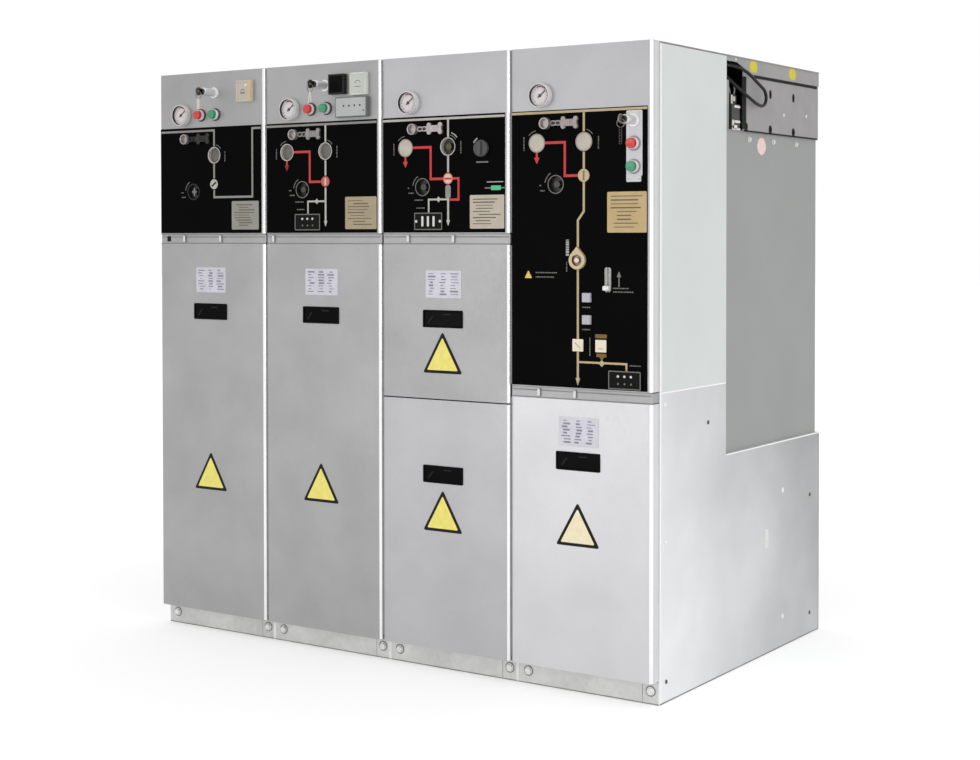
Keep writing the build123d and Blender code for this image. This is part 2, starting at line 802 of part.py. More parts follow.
# Gas tanks and the wiring trough over them
parts["gas_tanks"] = Compound([gas_tank(n) for n in range(cubicle_count)])
parts["tank_end_covers"] = Compound([tank_cover(side) for side in (-1, 1)])
parts["tank_shelves"] = Compound([tank_shelf(n) for n in range(cubicle_count)])
parts["wiring_trough"] = wiring_trough()
parts["trough_lid"] = trough_lid()
parts["trough_ends"] = Compound([trough_end(side) for side in (-1, 1)])
parts["terminal_block"] = terminal_block()
parts["cable_grommets"] = Compound(
    [grommet(place) for place in (cable_route[0], cable_route[-1])])
parts["control_cable"] = control_cable()

for name, shape in parts.items():
    export_step(shape, os.path.join("parts", name + ".step"))
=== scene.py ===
"""Looks of a row of four switchgear cubicles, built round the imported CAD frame.

Shapes are worked out in millimetres on their own flat seat (a to the right, b up, h out of the seat)
and are then seated on a face of the row. Cubicles are counted from 0 at the left.
"""
import math

import bmesh
import bpy
import numpy as np
from bpy.props import FloatProperty, FloatVectorProperty, PointerProperty
from mathutils import Euler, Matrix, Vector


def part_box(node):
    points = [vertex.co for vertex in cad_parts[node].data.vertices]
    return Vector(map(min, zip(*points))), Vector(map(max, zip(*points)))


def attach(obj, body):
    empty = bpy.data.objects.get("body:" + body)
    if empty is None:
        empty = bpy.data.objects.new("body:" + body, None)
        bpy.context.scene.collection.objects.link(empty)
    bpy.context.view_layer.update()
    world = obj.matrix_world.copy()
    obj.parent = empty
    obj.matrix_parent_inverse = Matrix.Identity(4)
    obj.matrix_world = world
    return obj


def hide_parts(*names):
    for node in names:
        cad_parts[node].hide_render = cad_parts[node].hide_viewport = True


bl_info = {
    "name": "Switchgear row",
    "version": (1, 0, 0),
    "blender": (4, 5, 0),
    "location": "View3D > Sidebar > Switchgear",
    "description": "Finishes, diagrams and fittings of a row of switchgear cubicles",
    "category": "Object",
}

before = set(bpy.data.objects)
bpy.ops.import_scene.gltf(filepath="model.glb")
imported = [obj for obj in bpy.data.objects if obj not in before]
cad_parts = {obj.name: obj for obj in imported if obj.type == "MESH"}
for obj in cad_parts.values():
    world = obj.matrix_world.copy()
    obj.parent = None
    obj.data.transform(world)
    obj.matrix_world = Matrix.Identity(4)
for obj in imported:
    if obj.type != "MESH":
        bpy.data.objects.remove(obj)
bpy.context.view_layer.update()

MM = 0.001
SHARP = math.radians(32)
PITCH = 375.0
LEFTS = tuple(-2 * PITCH + PITCH * n for n in range(4))

# Faces of the frame that carry the pieces, in millimetres
Y_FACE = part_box("upper_front_1")[0].y / MM
Y_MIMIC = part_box("mimic_plate_1")[0].y / MM
Y_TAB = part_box("interlock_rails")[0].y / MM
Y_RAIL = Y_TAB + 4.0  # the tabs stand 4 mm out of the rails
Y_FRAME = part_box("plinth_strips")[0].y / MM
Y_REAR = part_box("rear_covers")[1].y / MM
Y_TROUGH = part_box("wiring_trough")[0].y / MM
Y_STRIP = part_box("switch_strip")[0].y / MM
X_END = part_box("right_side_plate")[1].x / MM
X_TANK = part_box("tank_end_covers")[1].x / MM
X_TROUGH_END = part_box("trough_ends")[1].x / MM
X_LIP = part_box("trough_lid")[1].x / MM - 2.0  # the lid's top stands 2 mm past its lip
Z_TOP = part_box("roof_panels")[1].z / MM
Z_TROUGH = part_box("wiring_trough")[0].z / MM
Z_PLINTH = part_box("plinth_strips")[1].z / MM

# Heights of the rows of fittings, in millimetres over the floor
Z_GAUGE = 1365.0
Z_BUTTON = 1363.0
Z_METER = 1421.0
Z_KEY = 1420.0
Z_BUSBAR = 1324.0
Z_LOCK = 1301.0
Z_SOCKET = 1257.0
Z_KNOB = 1250.0
Z_POSITION = 1181.0
Z_CHARGE = 1162.0
Z_TAP = 1080.0
Z_RAILS = (1038.0, 1038.0, 1038.0, 686.0)
Z_BOSS = 990.0
Z_SLIDER = 947.0
Z_STATE = 798.0

# Columns of the fittings, in millimetres from a cubicle's left edge
A_EARTH = 75.0  # earthing shaft
A_GAUGE = 87.0
A_CHARGE = 126.0
A_TAP = 145.0  # voltage indicator of a switch cubicle
A_TRIANGLE = 183.0
A_WINDOW = 184.0
A_BOSS = 185.0  # breaker shaft
A_NAME = 186.0  # name plate
A_SHAFT = 200.0  # main shaft
A_LINE = 201.0  # main line of the two middle cubicles
A_SLIDER = 262.0
A_KNOB = 298.0
A_METER = 311.0
A_STRIP = 330.0  # switch strip of the breaker cubicle

# Cubicle, column and level of each voltage indicator
VOLTAGE_PLACES = ((1, A_TAP, Z_TAP), (2, A_TAP, Z_TAP), (3, 307.0, 724.0))

# The control cable's route, in millimetres from the top front corner of the trough's end: from the upper
# grommet round its loop to the lower one
CABLE_PLACES = (
    (-14, 0, -22), (-14, 24, -22), (-5, 48, -24), (4, 79, -31), (9, 108, -43), (11, 139, -58),
    (12, 165, -68), (12, 180, -76), (12, 187, -91), (12, 181, -106), (12, 166, -113), (11, 146, -112),
    (10, 117, -104), (6, 86, -91), (-4, 58, -75), (-15, 37, -57), (-22, 20, -44), (-22, 0, -44),
)

# Camera in metres and degrees, with the picture's size in pixels
IMAGE_WIDTH = 980
CAMERA_DROP = 110  # pixels by which the frame is shifted down
CAMERA_PLACE = (2.5253, Y_FRAME * MM - 3.3131, 1.0451)
CAMERA_TURN = (90 - 1.1562, 0.0517, 33.919)

# Directions of a, b and h on each face of the row
FACINGS = {
    "front": np.array([[1, 0, 0], [0, 0, 1], [0, -1, 0]], float),
    "back": np.array([[-1, 0, 0], [0, 0, 1], [0, 1, 0]], float),
    "right": np.array([[0, 1, 0], [0, 0, 1], [1, 0, 0]], float),
    "left": np.array([[0, -1, 0], [0, 0, 1], [-1, 0, 0]], float),
    "top": np.array([[1, 0, 0], [0, 1, 0], [0, 0, 1]], float),
}


def linear(code):
    """Linear colour of an sRGB hex code, by the standard's own curve."""
    srgb = np.array([int(code[i:i + 2], 16) for i in (1, 3, 5)]) / 255
    bent = np.where(srgb <= 0.04045, srgb / 12.92, ((srgb + 0.055) / 1.055) ** 2.4)
    return tuple(float(value) for value in bent)


# ---------------------------------------------------------------- shapes


def quads_of(rows, columns, wrap):
    """Corner numbers of the quads between neighbours of a grid; wrap joins the last row to the first."""
    row, column = np.meshgrid(np.arange(rows if wrap else rows - 1), np.arange(columns - 1), indexing="ij")
    after = (row + 1) % rows
    corners = (row * columns + column, row * columns + column + 1,
               after * columns + column + 1, after * columns + column)
    return np.stack(corners, -1).reshape(-1, 4)


def turned(profile, segments=40):
    """Surface of revolution: point (u, v) is (r(v) cos u, r(v) sin u, h(v)) along the profile's (r, h) pairs."""
    radius, height = np.array(profile, float).T
    turn = np.linspace(0, 2 * np.pi, segments, endpoint=False)[:, None]
    points = np.stack([radius * np.cos(turn), radius * np.sin(turn), height + 0 * turn], -1)
    return points.reshape(-1, 3), quads_of(segments, len(radius), True)


def inward(outline):
    """Mitred inward normals of a closed anticlockwise outline: (n1 + n2) / (1 + n1.n2) of its two edges."""
    edge = np.roll(outline, -1, 0) - outline
    edge /= np.linalg.norm(edge, axis=1, keepdims=True)
    after = np.stack([-edge[:, 1], edge[:, 0]], -1)
    before = np.roll(after, 1, 0)
    return (before + after) / (1 + (before * after).sum(1, keepdims=True))


def slab(outline, profile, closed=True):
    """Outline drawn in by each (inset, h) of a profile: point (u, v) is p(u) + inset(v) n(u) at height h(v).
    A closed slab ends in a pole over the outline's middle at both ends, with a ring close to the edge that
    keeps the flat face flat; an open one is a ring."""
    inset, height = np.array(profile, float).T
    if closed:
        inset = np.concatenate([inset[:1] + 0.2, inset, inset[-1:] + 0.2])
        height = np.concatenate([height[:1], height, height[-1:]])
    rows = outline[:, None, :] + inward(outline)[:, None, :] * inset[None, :, None]
    if closed:
        middle = np.broadcast_to(outline.mean(0), (len(outline), 1, 2))
        rows = np.concatenate([middle, rows, middle], 1)
        height = np.concatenate([height[:1], height, height[-1:]])
    points = np.concatenate([rows, np.broadcast_to(height[None, :, None], rows.shape[:2] + (1,))], -1)
    return points.reshape(-1, 3), quads_of(*rows.shape[:2], True)


def rounded(corners, radius, steps=5):
    """Convex outline with rounded corners: each arc is centre + r (cos t, sin t) between its edges' normals."""
    corners = np.array(corners, float)
    edge = np.roll(corners, -1, 0) - corners
    edge /= np.linalg.norm(edge, axis=1, keepdims=True)
    after = np.stack([edge[:, 1], -edge[:, 0]], -1)
    before = np.roll(after, 1, 0)
    centre = corners - (before + after) * radius / (1 + (before * after).sum(1, keepdims=True))
    start = np.arctan2(before[:, 1], before[:, 0])
    sweep = (np.arctan2(after[:, 1], after[:, 0]) - start) % (2 * np.pi)
    angle = start[:, None] + sweep[:, None] * np.linspace(0, 1, steps)
    return (centre[:, None, :] + radius * np.stack([np.cos(angle), np.sin(angle)], -1)).reshape(-1, 2)


def box_outline(width, height, radius, middle=(0, 0), steps=5):
    """Outline of a rectangle with rounded corners about a middle point."""
    a, b = width / 2, height / 2
    return rounded([(-a, -b), (a, -b), (a, b), (-a, b)], radius, steps) + np.array(middle, float)


def plate(width, height, radius, thickness, edge, middle=(0, 0)):
    """Rounded plate with a softened front edge."""
    return slab(box_outline(width, height, radius, middle),
                [(0, 0), (0, thickness - edge), (edge * 0.3, thickness - edge * 0.3), (edge, thickness)])


def rim(outline, width, height, edge):
    """Raised rim of an outline: a closed ring with softened edges."""
    return slab(outline, [(0, 0), (0, height - edge), (edge, height), (width - edge, height),
                          (width, height - edge), (width, 0), (0, 0)], closed=False)


def strip(path, width, height):
    """Flat bar carried along a path on the seat: point (u, v) is p(u) + w(v) m(u) with mitred normals m,
    its section a low trapezium, its ends drawn together to a line."""
    path = np.array(path, float)
    edge = np.diff(path, axis=0)
    edge /= np.linalg.norm(edge, axis=1, keepdims=True)
    normal = np.stack([-edge[:, 1], edge[:, 0]], -1)
    before = np.concatenate([normal[:1], normal])
    after = np.concatenate([normal, normal[-1:]])
    mitre = (before + after) / (1 + (before * after).sum(1, keepdims=True))
    soft = min(0.4, width / 6)
    half = width / 2
    across = np.array([-half, -half, soft - half, half - soft, half, half, -half])
    level = np.array([0, height * 0.6, height, height, height * 0.6, 0, 0])
    rows = path[:, None, :] + mitre[:, None, :] * across[None, :, None]
    points = np.concatenate([rows, np.broadcast_to(level[None, :, None], rows.shape[:2] + (1,))], -1)
    caps = points[[0, -1]].copy()
    caps[:, :, :2] = path[[0, -1], None, :]
    caps[:, :, 2] = height / 2
    points = np.concatenate([caps[:1], points, caps[1:]])
    return points.reshape(-1, 3), quads_of(*points.shape[:2], False)


def arc(radius, start, end, middle=(0, 0), steps=14):
    """Points of a circle's arc between two angles in degrees."""
    angle = np.radians(np.linspace(start, end, steps))
    return np.stack([middle[0] + radius * np.cos(angle), middle[1] + radius * np.sin(angle)], -1)


def hoop(radius, wire, segments=40, sides=10):
    """Ring of round wire: a circle of the wire's radius turned about the ring's middle."""
    angle = np.linspace(0, 2 * np.pi, sides + 1)
    return turned(np.stack([radius + wire * np.cos(angle), wire * np.sin(angle)], -1), segments)


def screw_head(radius, height):
    """Pan head: a low dome over a straight edge."""
    swell = np.radians(np.linspace(0, 90, 5))
    dome = np.stack([radius * np.cos(swell), height * (0.4 + 0.6 * np.sin(swell))], -1)
    return turned([(0, 0), (radius, 0)] + dome.tolist(), 20)


def bored(outline, hole, height, edge, deep=0.0):
    """Plate with a round bore: point (u, v) runs from the outline in to a circle of the bore's radius at the
    same angle about the seat's middle, up over the softened edge and down inside the bore, deep under the seat."""
    angle = np.arctan2(outline[:, 1], outline[:, 0])
    circle = hole * np.stack([np.cos(angle), np.sin(angle)], -1)
    rows = np.stack([outline, outline, outline + inward(outline) * edge, circle * (1 + edge / hole), circle,
                     circle, outline], 1)
    level = np.array([0, height - edge, height, height, height - edge, -deep, 0])
    points = np.concatenate([rows, np.broadcast_to(level[None, :, None], rows.shape[:2] + (1,))], -1)
    return points.reshape(-1, 3), quads_of(*rows.shape[:2], True)


def tube(path, radius, sides=10):
    """Round bar along a path in space: point (u, v) is p(u) + r (cos v m(u) + sin v n(u)) with m and n across
    the path, its ends drawn together to a point."""
    path = np.array(path, float)
    along = np.gradient(path, axis=0)
    along /= np.linalg.norm(along, axis=1, keepdims=True)
    across = np.cross(along, [1.0, 0.2, 0.1])
    across /= np.linalg.norm(across, axis=1, keepdims=True)
    turn = np.linspace(0, 2 * np.pi, sides + 1)[None, :, None]
    spokes = np.cos(turn) * across[:, None] + np.sin(turn) * np.cross(along, across)[:, None]
    rows = path[:, None, :] + radius * spokes
    ends = np.broadcast_to(path[[0, -1], None, :], (2, sides + 1, 3))
    points = np.concatenate([ends[:1], rows, ends[1:]])
    return points.reshape(-1, 3), quads_of(*points.shape[:2], False)


def bent(places, steps=6):
    """Smooth path through places: Catmull-Rom cubics between neighbours."""
    places = np.array(places, float)
    padded = np.concatenate([2 * places[:1] - places[1:2], places, 2 * places[-1:] - places[-2:-1]])
    t = np.linspace(0, 1, steps, endpoint=False)[None, :, None]
    a, b, c, d = (padded[k:len(padded) - 3 + k, None, :] for k in range(4))
    curve = 0.5 * (2 * b + (c - a) * t + (2 * a - 5 * b + 4 * c - d) * t ** 2
                   + (3 * b - a - 3 * c + d) * t ** 3)
    return np.concatenate([curve.reshape(-1, 3), places[-1:]])


def bead(length, radius, pitch):
    """Weld bead along b: point (u, v) is (r cos v, u, 0.4 r sin v (1 + 0.25 sin(2 pi u / pitch))), its ends sunk
    to the seat."""
    u = np.linspace(0, length, int(length / pitch * 5))[:, None]
    v = np.linspace(0, np.pi, 7)[None, :]
    swell = np.clip(np.minimum(u, length - u) / (2 * radius), 0, 1)
    points = np.stack([radius * np.cos(v) + 0 * u, u + 0 * v,
                       0.4 * radius * np.sin(v) * swell * (1 + 0.25 * np.sin(2 * np.pi * u / pitch))], -1)
    return points.reshape(-1, 3), quads_of(*points.shape[:2], False)


def hex_bolt(across, height, washer):
    """Hexagon head with a chamfered top on a washer."""
    corners = arc(across / math.sqrt(3), 0, 300, steps=6)
    head = slab(rounded(corners, across * 0.04, 3), [(0, 1.2), (0, height - 0.8), (0.9, height)])
    return join(turned([(0, 0), (washer, 0), (washer, 0.9), (washer - 0.4, 1.3), (0, 1.3)], 28), head)


def flush_head():
    """Ring of a screw head that is sunk flush into the sheet."""
    return turned([(2.2, -0.25), (5.0, -0.25), (5.0, 0), (2.2, 0), (2.2, -0.25)], 24)


def arrow(a, b, width, height):
    """Arrow head that points down to (a, b)."""
    return slab(rounded([(a - width / 2, b + height), (a, b), (a + width / 2, b + height)], 0.6, 3),
                [(0, 0), (0, 0.4), (0.2, 0.6)])


def dashes(a, b, reach, seed, upright=False, tall=2.6):
    """Short strokes along a line: each starts where the one before ends its run, runs are drawn from a fixed seed,
    and a stroke leaves the last 1.4 of its run free."""
    rng = np.random.default_rng(seed)
    runs = np.cumsum(rng.uniform(2.5, 7.0, 24))
    runs = runs[runs < reach]
    ends = np.stack([np.concatenate([[0], runs[:-1]]), runs - 1.4], -1)
    lines = [[(a, b + start), (a, b + end)] if upright else [(a + start, b), (a + end, b)] for start, end in ends]
    return join(*[strip(line, tall, 0.3) for line in lines])


def join(*shapes):
    """Several shapes as one."""
    offsets = np.cumsum([0] + [len(points) for points, quads in shapes[:-1]])
    return (np.concatenate([points for points, quads in shapes]),
            np.concatenate([quads + offset for (points, quads), offset in zip(shapes, offsets)]))


def seated(shape, origin, facing="front"):
    """A shape moved from its own flat seat to a place on one face of the row."""
    points, quads = shape
    return points @ FACINGS[facing] + np.array(origin, float), quads


def moved(shape, a, b, h=0.0):
    """A shape moved on its own seat."""
    points, quads = shape
    return points + np.array([a, b, h], float), quads


def on_mimic(n, shape, a, b, h=0.0):
    """A shape seated on a cubicle's mimic plate at a column and a level."""
    return seated(moved(shape, a, b, h), (LEFTS[n], Y_MIMIC, 0))


def on_face(n, shape, a, b, h=0.0):
    """A shape seated on a cubicle's front sheet at a column and a level."""
    return seated(moved(shape, a, b, h), (LEFTS[n], Y_FACE, 0))


def make(name, shapes, material, body="housing", replaces=()):
    """One piece from shapes in millimetres, cleaned, finished and riding on a body of the frame."""
    points, quads = join(*shapes)
    mesh = bpy.data.meshes.new(name)
    mesh.from_pydata((points * MM).tolist(), [], quads.tolist())
    clean = bmesh.new()
    clean.from_mesh(mesh)
    bmesh.ops.remove_doubles(clean, verts=clean.verts, dist=1e-7)
    bmesh.ops.dissolve_degenerate(clean, edges=clean.edges, dist=1e-8)
    bmesh.ops.recalc_face_normals(clean, faces=clean.faces)
    clean.to_mesh(mesh)
    clean.free()
    mesh.materials.append(material)
    mesh.shade_smooth()
    mesh.set_sharp_from_angle(angle=SHARP)
    piece = bpy.data.objects.new(name, mesh)
    bpy.context.scene.collection.objects.link(piece)
    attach(piece, body)
    if replaces:
        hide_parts(*replaces)
    return piece


def dress(node, material):
    """Gives a node of the frame a finish of its own."""
    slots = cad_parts[node].data.materials
    slots.clear()
    slots.append(material)


# ------------------------------------------------------------- materials

FINE_GRAIN = (1.2, 1.2, 1.2)
PEEL_GRAIN = (2.0, 2.0, 2.0)
UPRIGHT_GRAIN = (1.6, 1.6, 14.0)  # a drawn sheet's hair-fine lines, drawn coarser so that they show


def add(tree, kind, inputs=(), **settings):
    """Adds a node with its settings; inputs are values, or sockets to link."""
    node = tree.nodes.new(kind)
    for key, value in settings.items():
        setattr(node, key, value)
    for key, value in dict(inputs).items():
        if isinstance(value, bpy.types.NodeSocket):
            tree.links.new(value, node.inputs[key])
        else:
            node.inputs[key].default_value = value
    return node


def finish(name, colour, metallic=0.0, roughness=0.5, spread=0.05, cloud=90.0, mottle=0.05, grain=FINE_GRAIN,
           relief=0.01, spangle=0.0, dull=0.0, coat=0.0, specular=0.5):
    """A surface with a cloudy tone (cloud mm across, mottle strong) and a grain (mm in x, y, z) that stirs its
    roughness and relief. Spangle sets zinc crystals of that many mm over the clouds; dull is the share of the tone
    given to painted shade, which darkens it from the foot of the front to the top of the back."""
    if name in bpy.data.materials:
        return bpy.data.materials[name]
    material = bpy.data.materials.new(name)
    material.use_nodes = True
    tree = material.node_tree
    tree.nodes.clear()
    base = np.array(linear(colour) if isinstance(colour, str) else colour)
    low = tuple(np.clip(base * (1 - mottle), 0, 1)) + (1.0,)
    high = tuple(np.clip(base * (1 + mottle), 0, 1)) + (1.0,)
    middle = {"From Min": 0.3, "From Max": 0.7}  # where a noise mostly lies
    place = add(tree, "ShaderNodeTexCoord").outputs["Object"]
    tone = add(tree, "ShaderNodeTexNoise", {"Vector": place, "Scale": 1 / (cloud * MM), "Detail": 4.0}).outputs["Fac"]
    tone = add(tree, "ShaderNodeMapRange", {"Value": tone, **middle}).outputs["Result"]
    if spangle:
        cells = add(tree, "ShaderNodeTexVoronoi", {"Vector": place, "Scale": 1 / (spangle * MM)})
        crystal = add(tree, "ShaderNodeSeparateColor", {"Color": cells.outputs["Color"]}).outputs["Red"]
        tone = add(tree, "ShaderNodeMix", {0: 0.3, 2: tone, 3: crystal}, data_type="FLOAT").outputs[0]
    if dull:
        # Painted shade: the tone darkens from the foot of the front to the top of the back.
        depth = add(tree, "ShaderNodeVectorMath", {0: place, 1: (0, 1, 0.45)}, operation="DOT_PRODUCT")
        back = add(tree, "ShaderNodeMapRange", {
            "Value": depth.outputs["Value"], "From Min": Y_FRAME * MM + 0.1, "From Max": Y_REAR * MM + 0.1,
            "To Min": 1.0, "To Max": 0.0})
        tone = add(tree, "ShaderNodeMix", {0: dull, 2: tone, 3: back.outputs["Result"]}, data_type="FLOAT").outputs[0]
    shade = add(tree, "ShaderNodeMix", {0: tone, 6: low, 7: high}, data_type="RGBA").outputs[2]
    turn = add(tree, "ShaderNodeMapping", {"Vector": place, "Scale": tuple(1 / (size * MM) for size in grain)})
    speck = add(tree, "ShaderNodeTexNoise", {"Vector": turn.outputs["Vector"], "Scale": 1.0, "Detail": 2.0})
    rough = add(tree, "ShaderNodeMapRange", {
        "Value": speck.outputs["Fac"], **middle, "To Min": max(0.02, roughness - spread),
        "To Max": min(1.0, roughness + spread)})
    bump = add(tree, "ShaderNodeBump", {"Height": speck.outputs["Fac"], "Distance": relief * MM, "Strength": 0.7})
    shader = add(tree, "ShaderNodeBsdfPrincipled", {
        "Base Color": shade, "Roughness": rough.outputs["Result"], "Normal": bump.outputs["Normal"],
        "Metallic": metallic, "Coat Weight": coat, "Coat Roughness": 0.12, "Specular IOR Level": specular})
    add(tree, "ShaderNodeOutputMaterial", {"Surface": shader.outputs["BSDF"]})
    return material


def front_sheet(painted_light_tone):
    """Zinc-aluminium coated sheet, satin: a soft sheen with an upright drawn grain. The covers get three tones of
    painted light: a grey one, one between, and a pale one on the breaker cubicle's cable cover that is a painted
    reflection."""
    colour, mottle = {"satin": ("#A6A5A6", 0.07), "mid": ("#B5B4B7", 0.05), "pale": ("#CFCED0", 0.04)}[painted_light_tone]
    return finish("coated_sheet_" + painted_light_tone, colour, metallic=0.72, roughness=0.42, spread=0.08, cloud=150.0,
                  mottle=mottle, grain=UPRIGHT_GRAIN, relief=0.014)


def galvanised_sheet():
    """Hot-dip galvanised sheet: pale grey zinc with clouds and faint crystals a centimetre across."""
    return finish("zinc_hot_dipped", "#D4D4D2", metallic=0.5, roughness=0.46, spread=0.1, cloud=110.0, mottle=0.14,
                  spangle=11.0, relief=0.014)


def galvanised_side():
    """Galvanised side plate: the same zinc with large clouds, and painted shade that darkens it from the foot of the
    front towards the top of the back.
    """
    return finish("zinc_hot_dipped_side_painted_shade", "#D3D4D5", metallic=0.5, roughness=0.46, spread=0.1, cloud=330.0,
                  mottle=0.42, dull=0.74, relief=0.014)


def pale_side_sheet():
    """Powder-coated side sheet: pale grey with a fine orange peel."""
    return finish("powder_coat_pale", "#DADFDE", roughness=0.42, cloud=380.0, mottle=0.06, grain=(2.5, 2.5, 2.5),
                  relief=0.03)


def tank_paint():
    """Painted tank steel: flat mid grey, slightly uneven."""
    return finish("tank_paint_grey", "#9C9F9D", roughness=0.5, cloud=220.0, mottle=0.04, grain=PEEL_GRAIN,
                  relief=0.03)


def trough_paint():
    """Painted trough sheet: a warmer grey with handling marks."""
    return finish("trough_paint_grey", "#9D9B9B", roughness=0.48, cloud=60.0, mottle=0.07, grain=PEEL_GRAIN,
                  relief=0.03)


def mimic_film():
    """Matt polycarbonate film, printed black on its back: an anti-glare face that gives hardly any mirror."""
    return finish("mimic_film_black", "#050506", roughness=0.34, spread=0.06, cloud=140.0, mottle=0.2, relief=0.004,
                  specular=0.02)


def ink(name, colour):
    """Screen-printed matt ink: flat, with little mirror and a little uneven in cover."""
    return finish("ink_" + name, colour, roughness=0.5, cloud=12.0, mottle=0.06, grain=(0.5, 0.5, 0.5), relief=0.004,
                  specular=0.2)


def moulded(name, colour, roughness=0.4, coat=0.0, specular=0.5):
    """Injection-moulded plastic: an even tone, its mirror softened by a fine erosion grain."""
    return finish("plastic_" + name, colour, roughness=roughness, cloud=30.0, mottle=0.04, grain=(0.7, 0.7, 0.7),
                  relief=0.008, coat=coat, specular=specular)


def plated(name, colour, roughness=0.25):
    """Nickel-plated steel: bright, with faint tool marks."""
    return finish("nickel_plated_" + name, colour, metallic=1.0, roughness=roughness, cloud=15.0, mottle=0.06,
                  grain=(0.3, 0.3, 3.0), relief=0.003)


def anodised(name, colour):
    """Anodised aluminium label plate: satin, with a faint brushed grain along it."""
    return finish("anodised_" + name, colour, metallic=0.25, roughness=0.42, cloud=40.0, mottle=0.07,
                  grain=(9.0, 0.6, 0.6), relief=0.004)


def zinc(name, colour, metallic=0.4, roughness=0.5, cloud=6.0, mottle=0.05):
    """Zinc-coated steel: a dull or bright white bloom over a weak mirror, cloudy where it has been handled."""
    return finish("zinc_coated_" + name, colour, metallic=metallic, roughness=roughness, cloud=cloud, mottle=mottle)


def die_cast(name, colour, mottle):
    """Die-cast zinc: a rippled, uneven mirror in the casting's skin."""
    return finish("zinc_die_cast_" + name, colour, metallic=0.7, roughness=0.34, cloud=9.0, mottle=mottle,
                  relief=0.02)


def rubber(name, colour, roughness=0.6, cloud=20.0, mottle=0.1, specular=0.5):
    """Moulded rubber: matt, with a bloom of paler patches and hardly any mirror."""
    return finish("rubber_" + name, colour, roughness=roughness, cloud=cloud, mottle=mottle, specular=specular)


# ------------------------------------------------------------ properties


def size_of(name, description, default):
    """A length that a user may change, in metres."""
    return FloatProperty(name=name, description=description, default=default, unit="LENGTH")


def colour_of(name, description, code):
    """A colour that a user may change, from its sRGB hex code."""
    return FloatVectorProperty(name=name, description=description, subtype="COLOR", default=linear(code))


def power_of(name, description, default):
    """A lamp's power that a user may change, in watts."""
    return FloatProperty(name=name, description=description, default=default, unit="POWER")


class SwitchgearSizes(bpy.types.PropertyGroup):
    """Sizes of what is dressed on the row."""
    line_width: size_of("Diagram line", "Width of the mimic diagram's lines", 0.0055)
    print_height: size_of("Ink height", "How far printed lines stand proud", 0.0004)
    triangle_side: size_of("Triangle side", "Side of the yellow triangle plates", 0.115)
    plate_thickness: size_of("Plate thickness", "Thickness of the bare label plates", 0.001)
    cable_diameter: size_of("Cable diameter", "Diameter of the looped control cable", 0.008)


class SwitchgearColours(bpy.types.PropertyGroup):
    """Colours of the printed and moulded pieces, in linear light."""
    pale_line: colour_of("Pale lines", "Live lines of the switch cubicles", "#BFBCB5")
    red_line: colour_of("Red lines", "Earthing lines of the diagram", "#CB4340")
    gold_line: colour_of("Gold lines", "Live lines of the breaker cubicle", "#C2AF89")
    red_button: colour_of("Red buttons", "Lenses of the red push-buttons", "#D2231F")
    green_button: colour_of("Green buttons", "Lenses of the green push-buttons", "#1E9468")
    triangle: colour_of("Triangles", "Yellow of the triangle plates", "#FDEE82")


class SwitchgearStage(bpy.types.PropertyGroup):
    """Light and camera."""
    key_power: power_of("Key light", "Power of the light on the right", 12.0)
    front_power: power_of("Front light", "Power of the softbox in front", 13.0)
    top_power: power_of("Top light", "Power of the light overhead", 12.0)
    lens: FloatProperty(name="Lens", description="Focal length on a 36 mm sensor, in millimetres", default=62.152)


# ------------------------------------------------------------- operators


class SWITCHGEAR_OT_sheets(bpy.types.Operator):
    """Finishes of the sheet-metal nodes that come from the frame."""
    bl_idname = "switchgear.sheets"
    bl_label = "Sheet metal"

    def execute(self, context):
        finishes = {
            galvanised_sheet(): ("base_runners", "plinth_strips", "front_posts", "partition_walls", "tank_shelves",
                                 "rear_covers", "roof_panels"),
            # The side plates' finish carries painted shade that darkens it towards the back.
            galvanised_side(): ("left_side_plate", "right_side_plate"),
            pale_side_sheet(): ("upper_sides",),
            tank_paint(): ("gas_tanks", "tank_end_covers"),
            trough_paint(): ("wiring_trough", "trough_lid", "trough_ends"),
            mimic_film(): tuple("mimic_plate_%d" % n for n in range(1, 5)),
            # The front sheets' three tones are painted light: lighter on most right-hand covers, palest on the
            # breaker cubicle's cable cover as a painted reflection.
            front_sheet("satin"): ("interlock_rails", "cable_cover_1", "cable_cover_2", "cable_cover_3_upper",
                                   "upper_front_1", "upper_front_2"),
            front_sheet("mid"): ("upper_front_3", "upper_front_4", "cable_cover_3_lower"),
            front_sheet("pale"): ("cable_cover_4",),
        }
        for material, nodes in finishes.items():
            for node in nodes:
                dress(node, material)
        return {"FINISHED"}


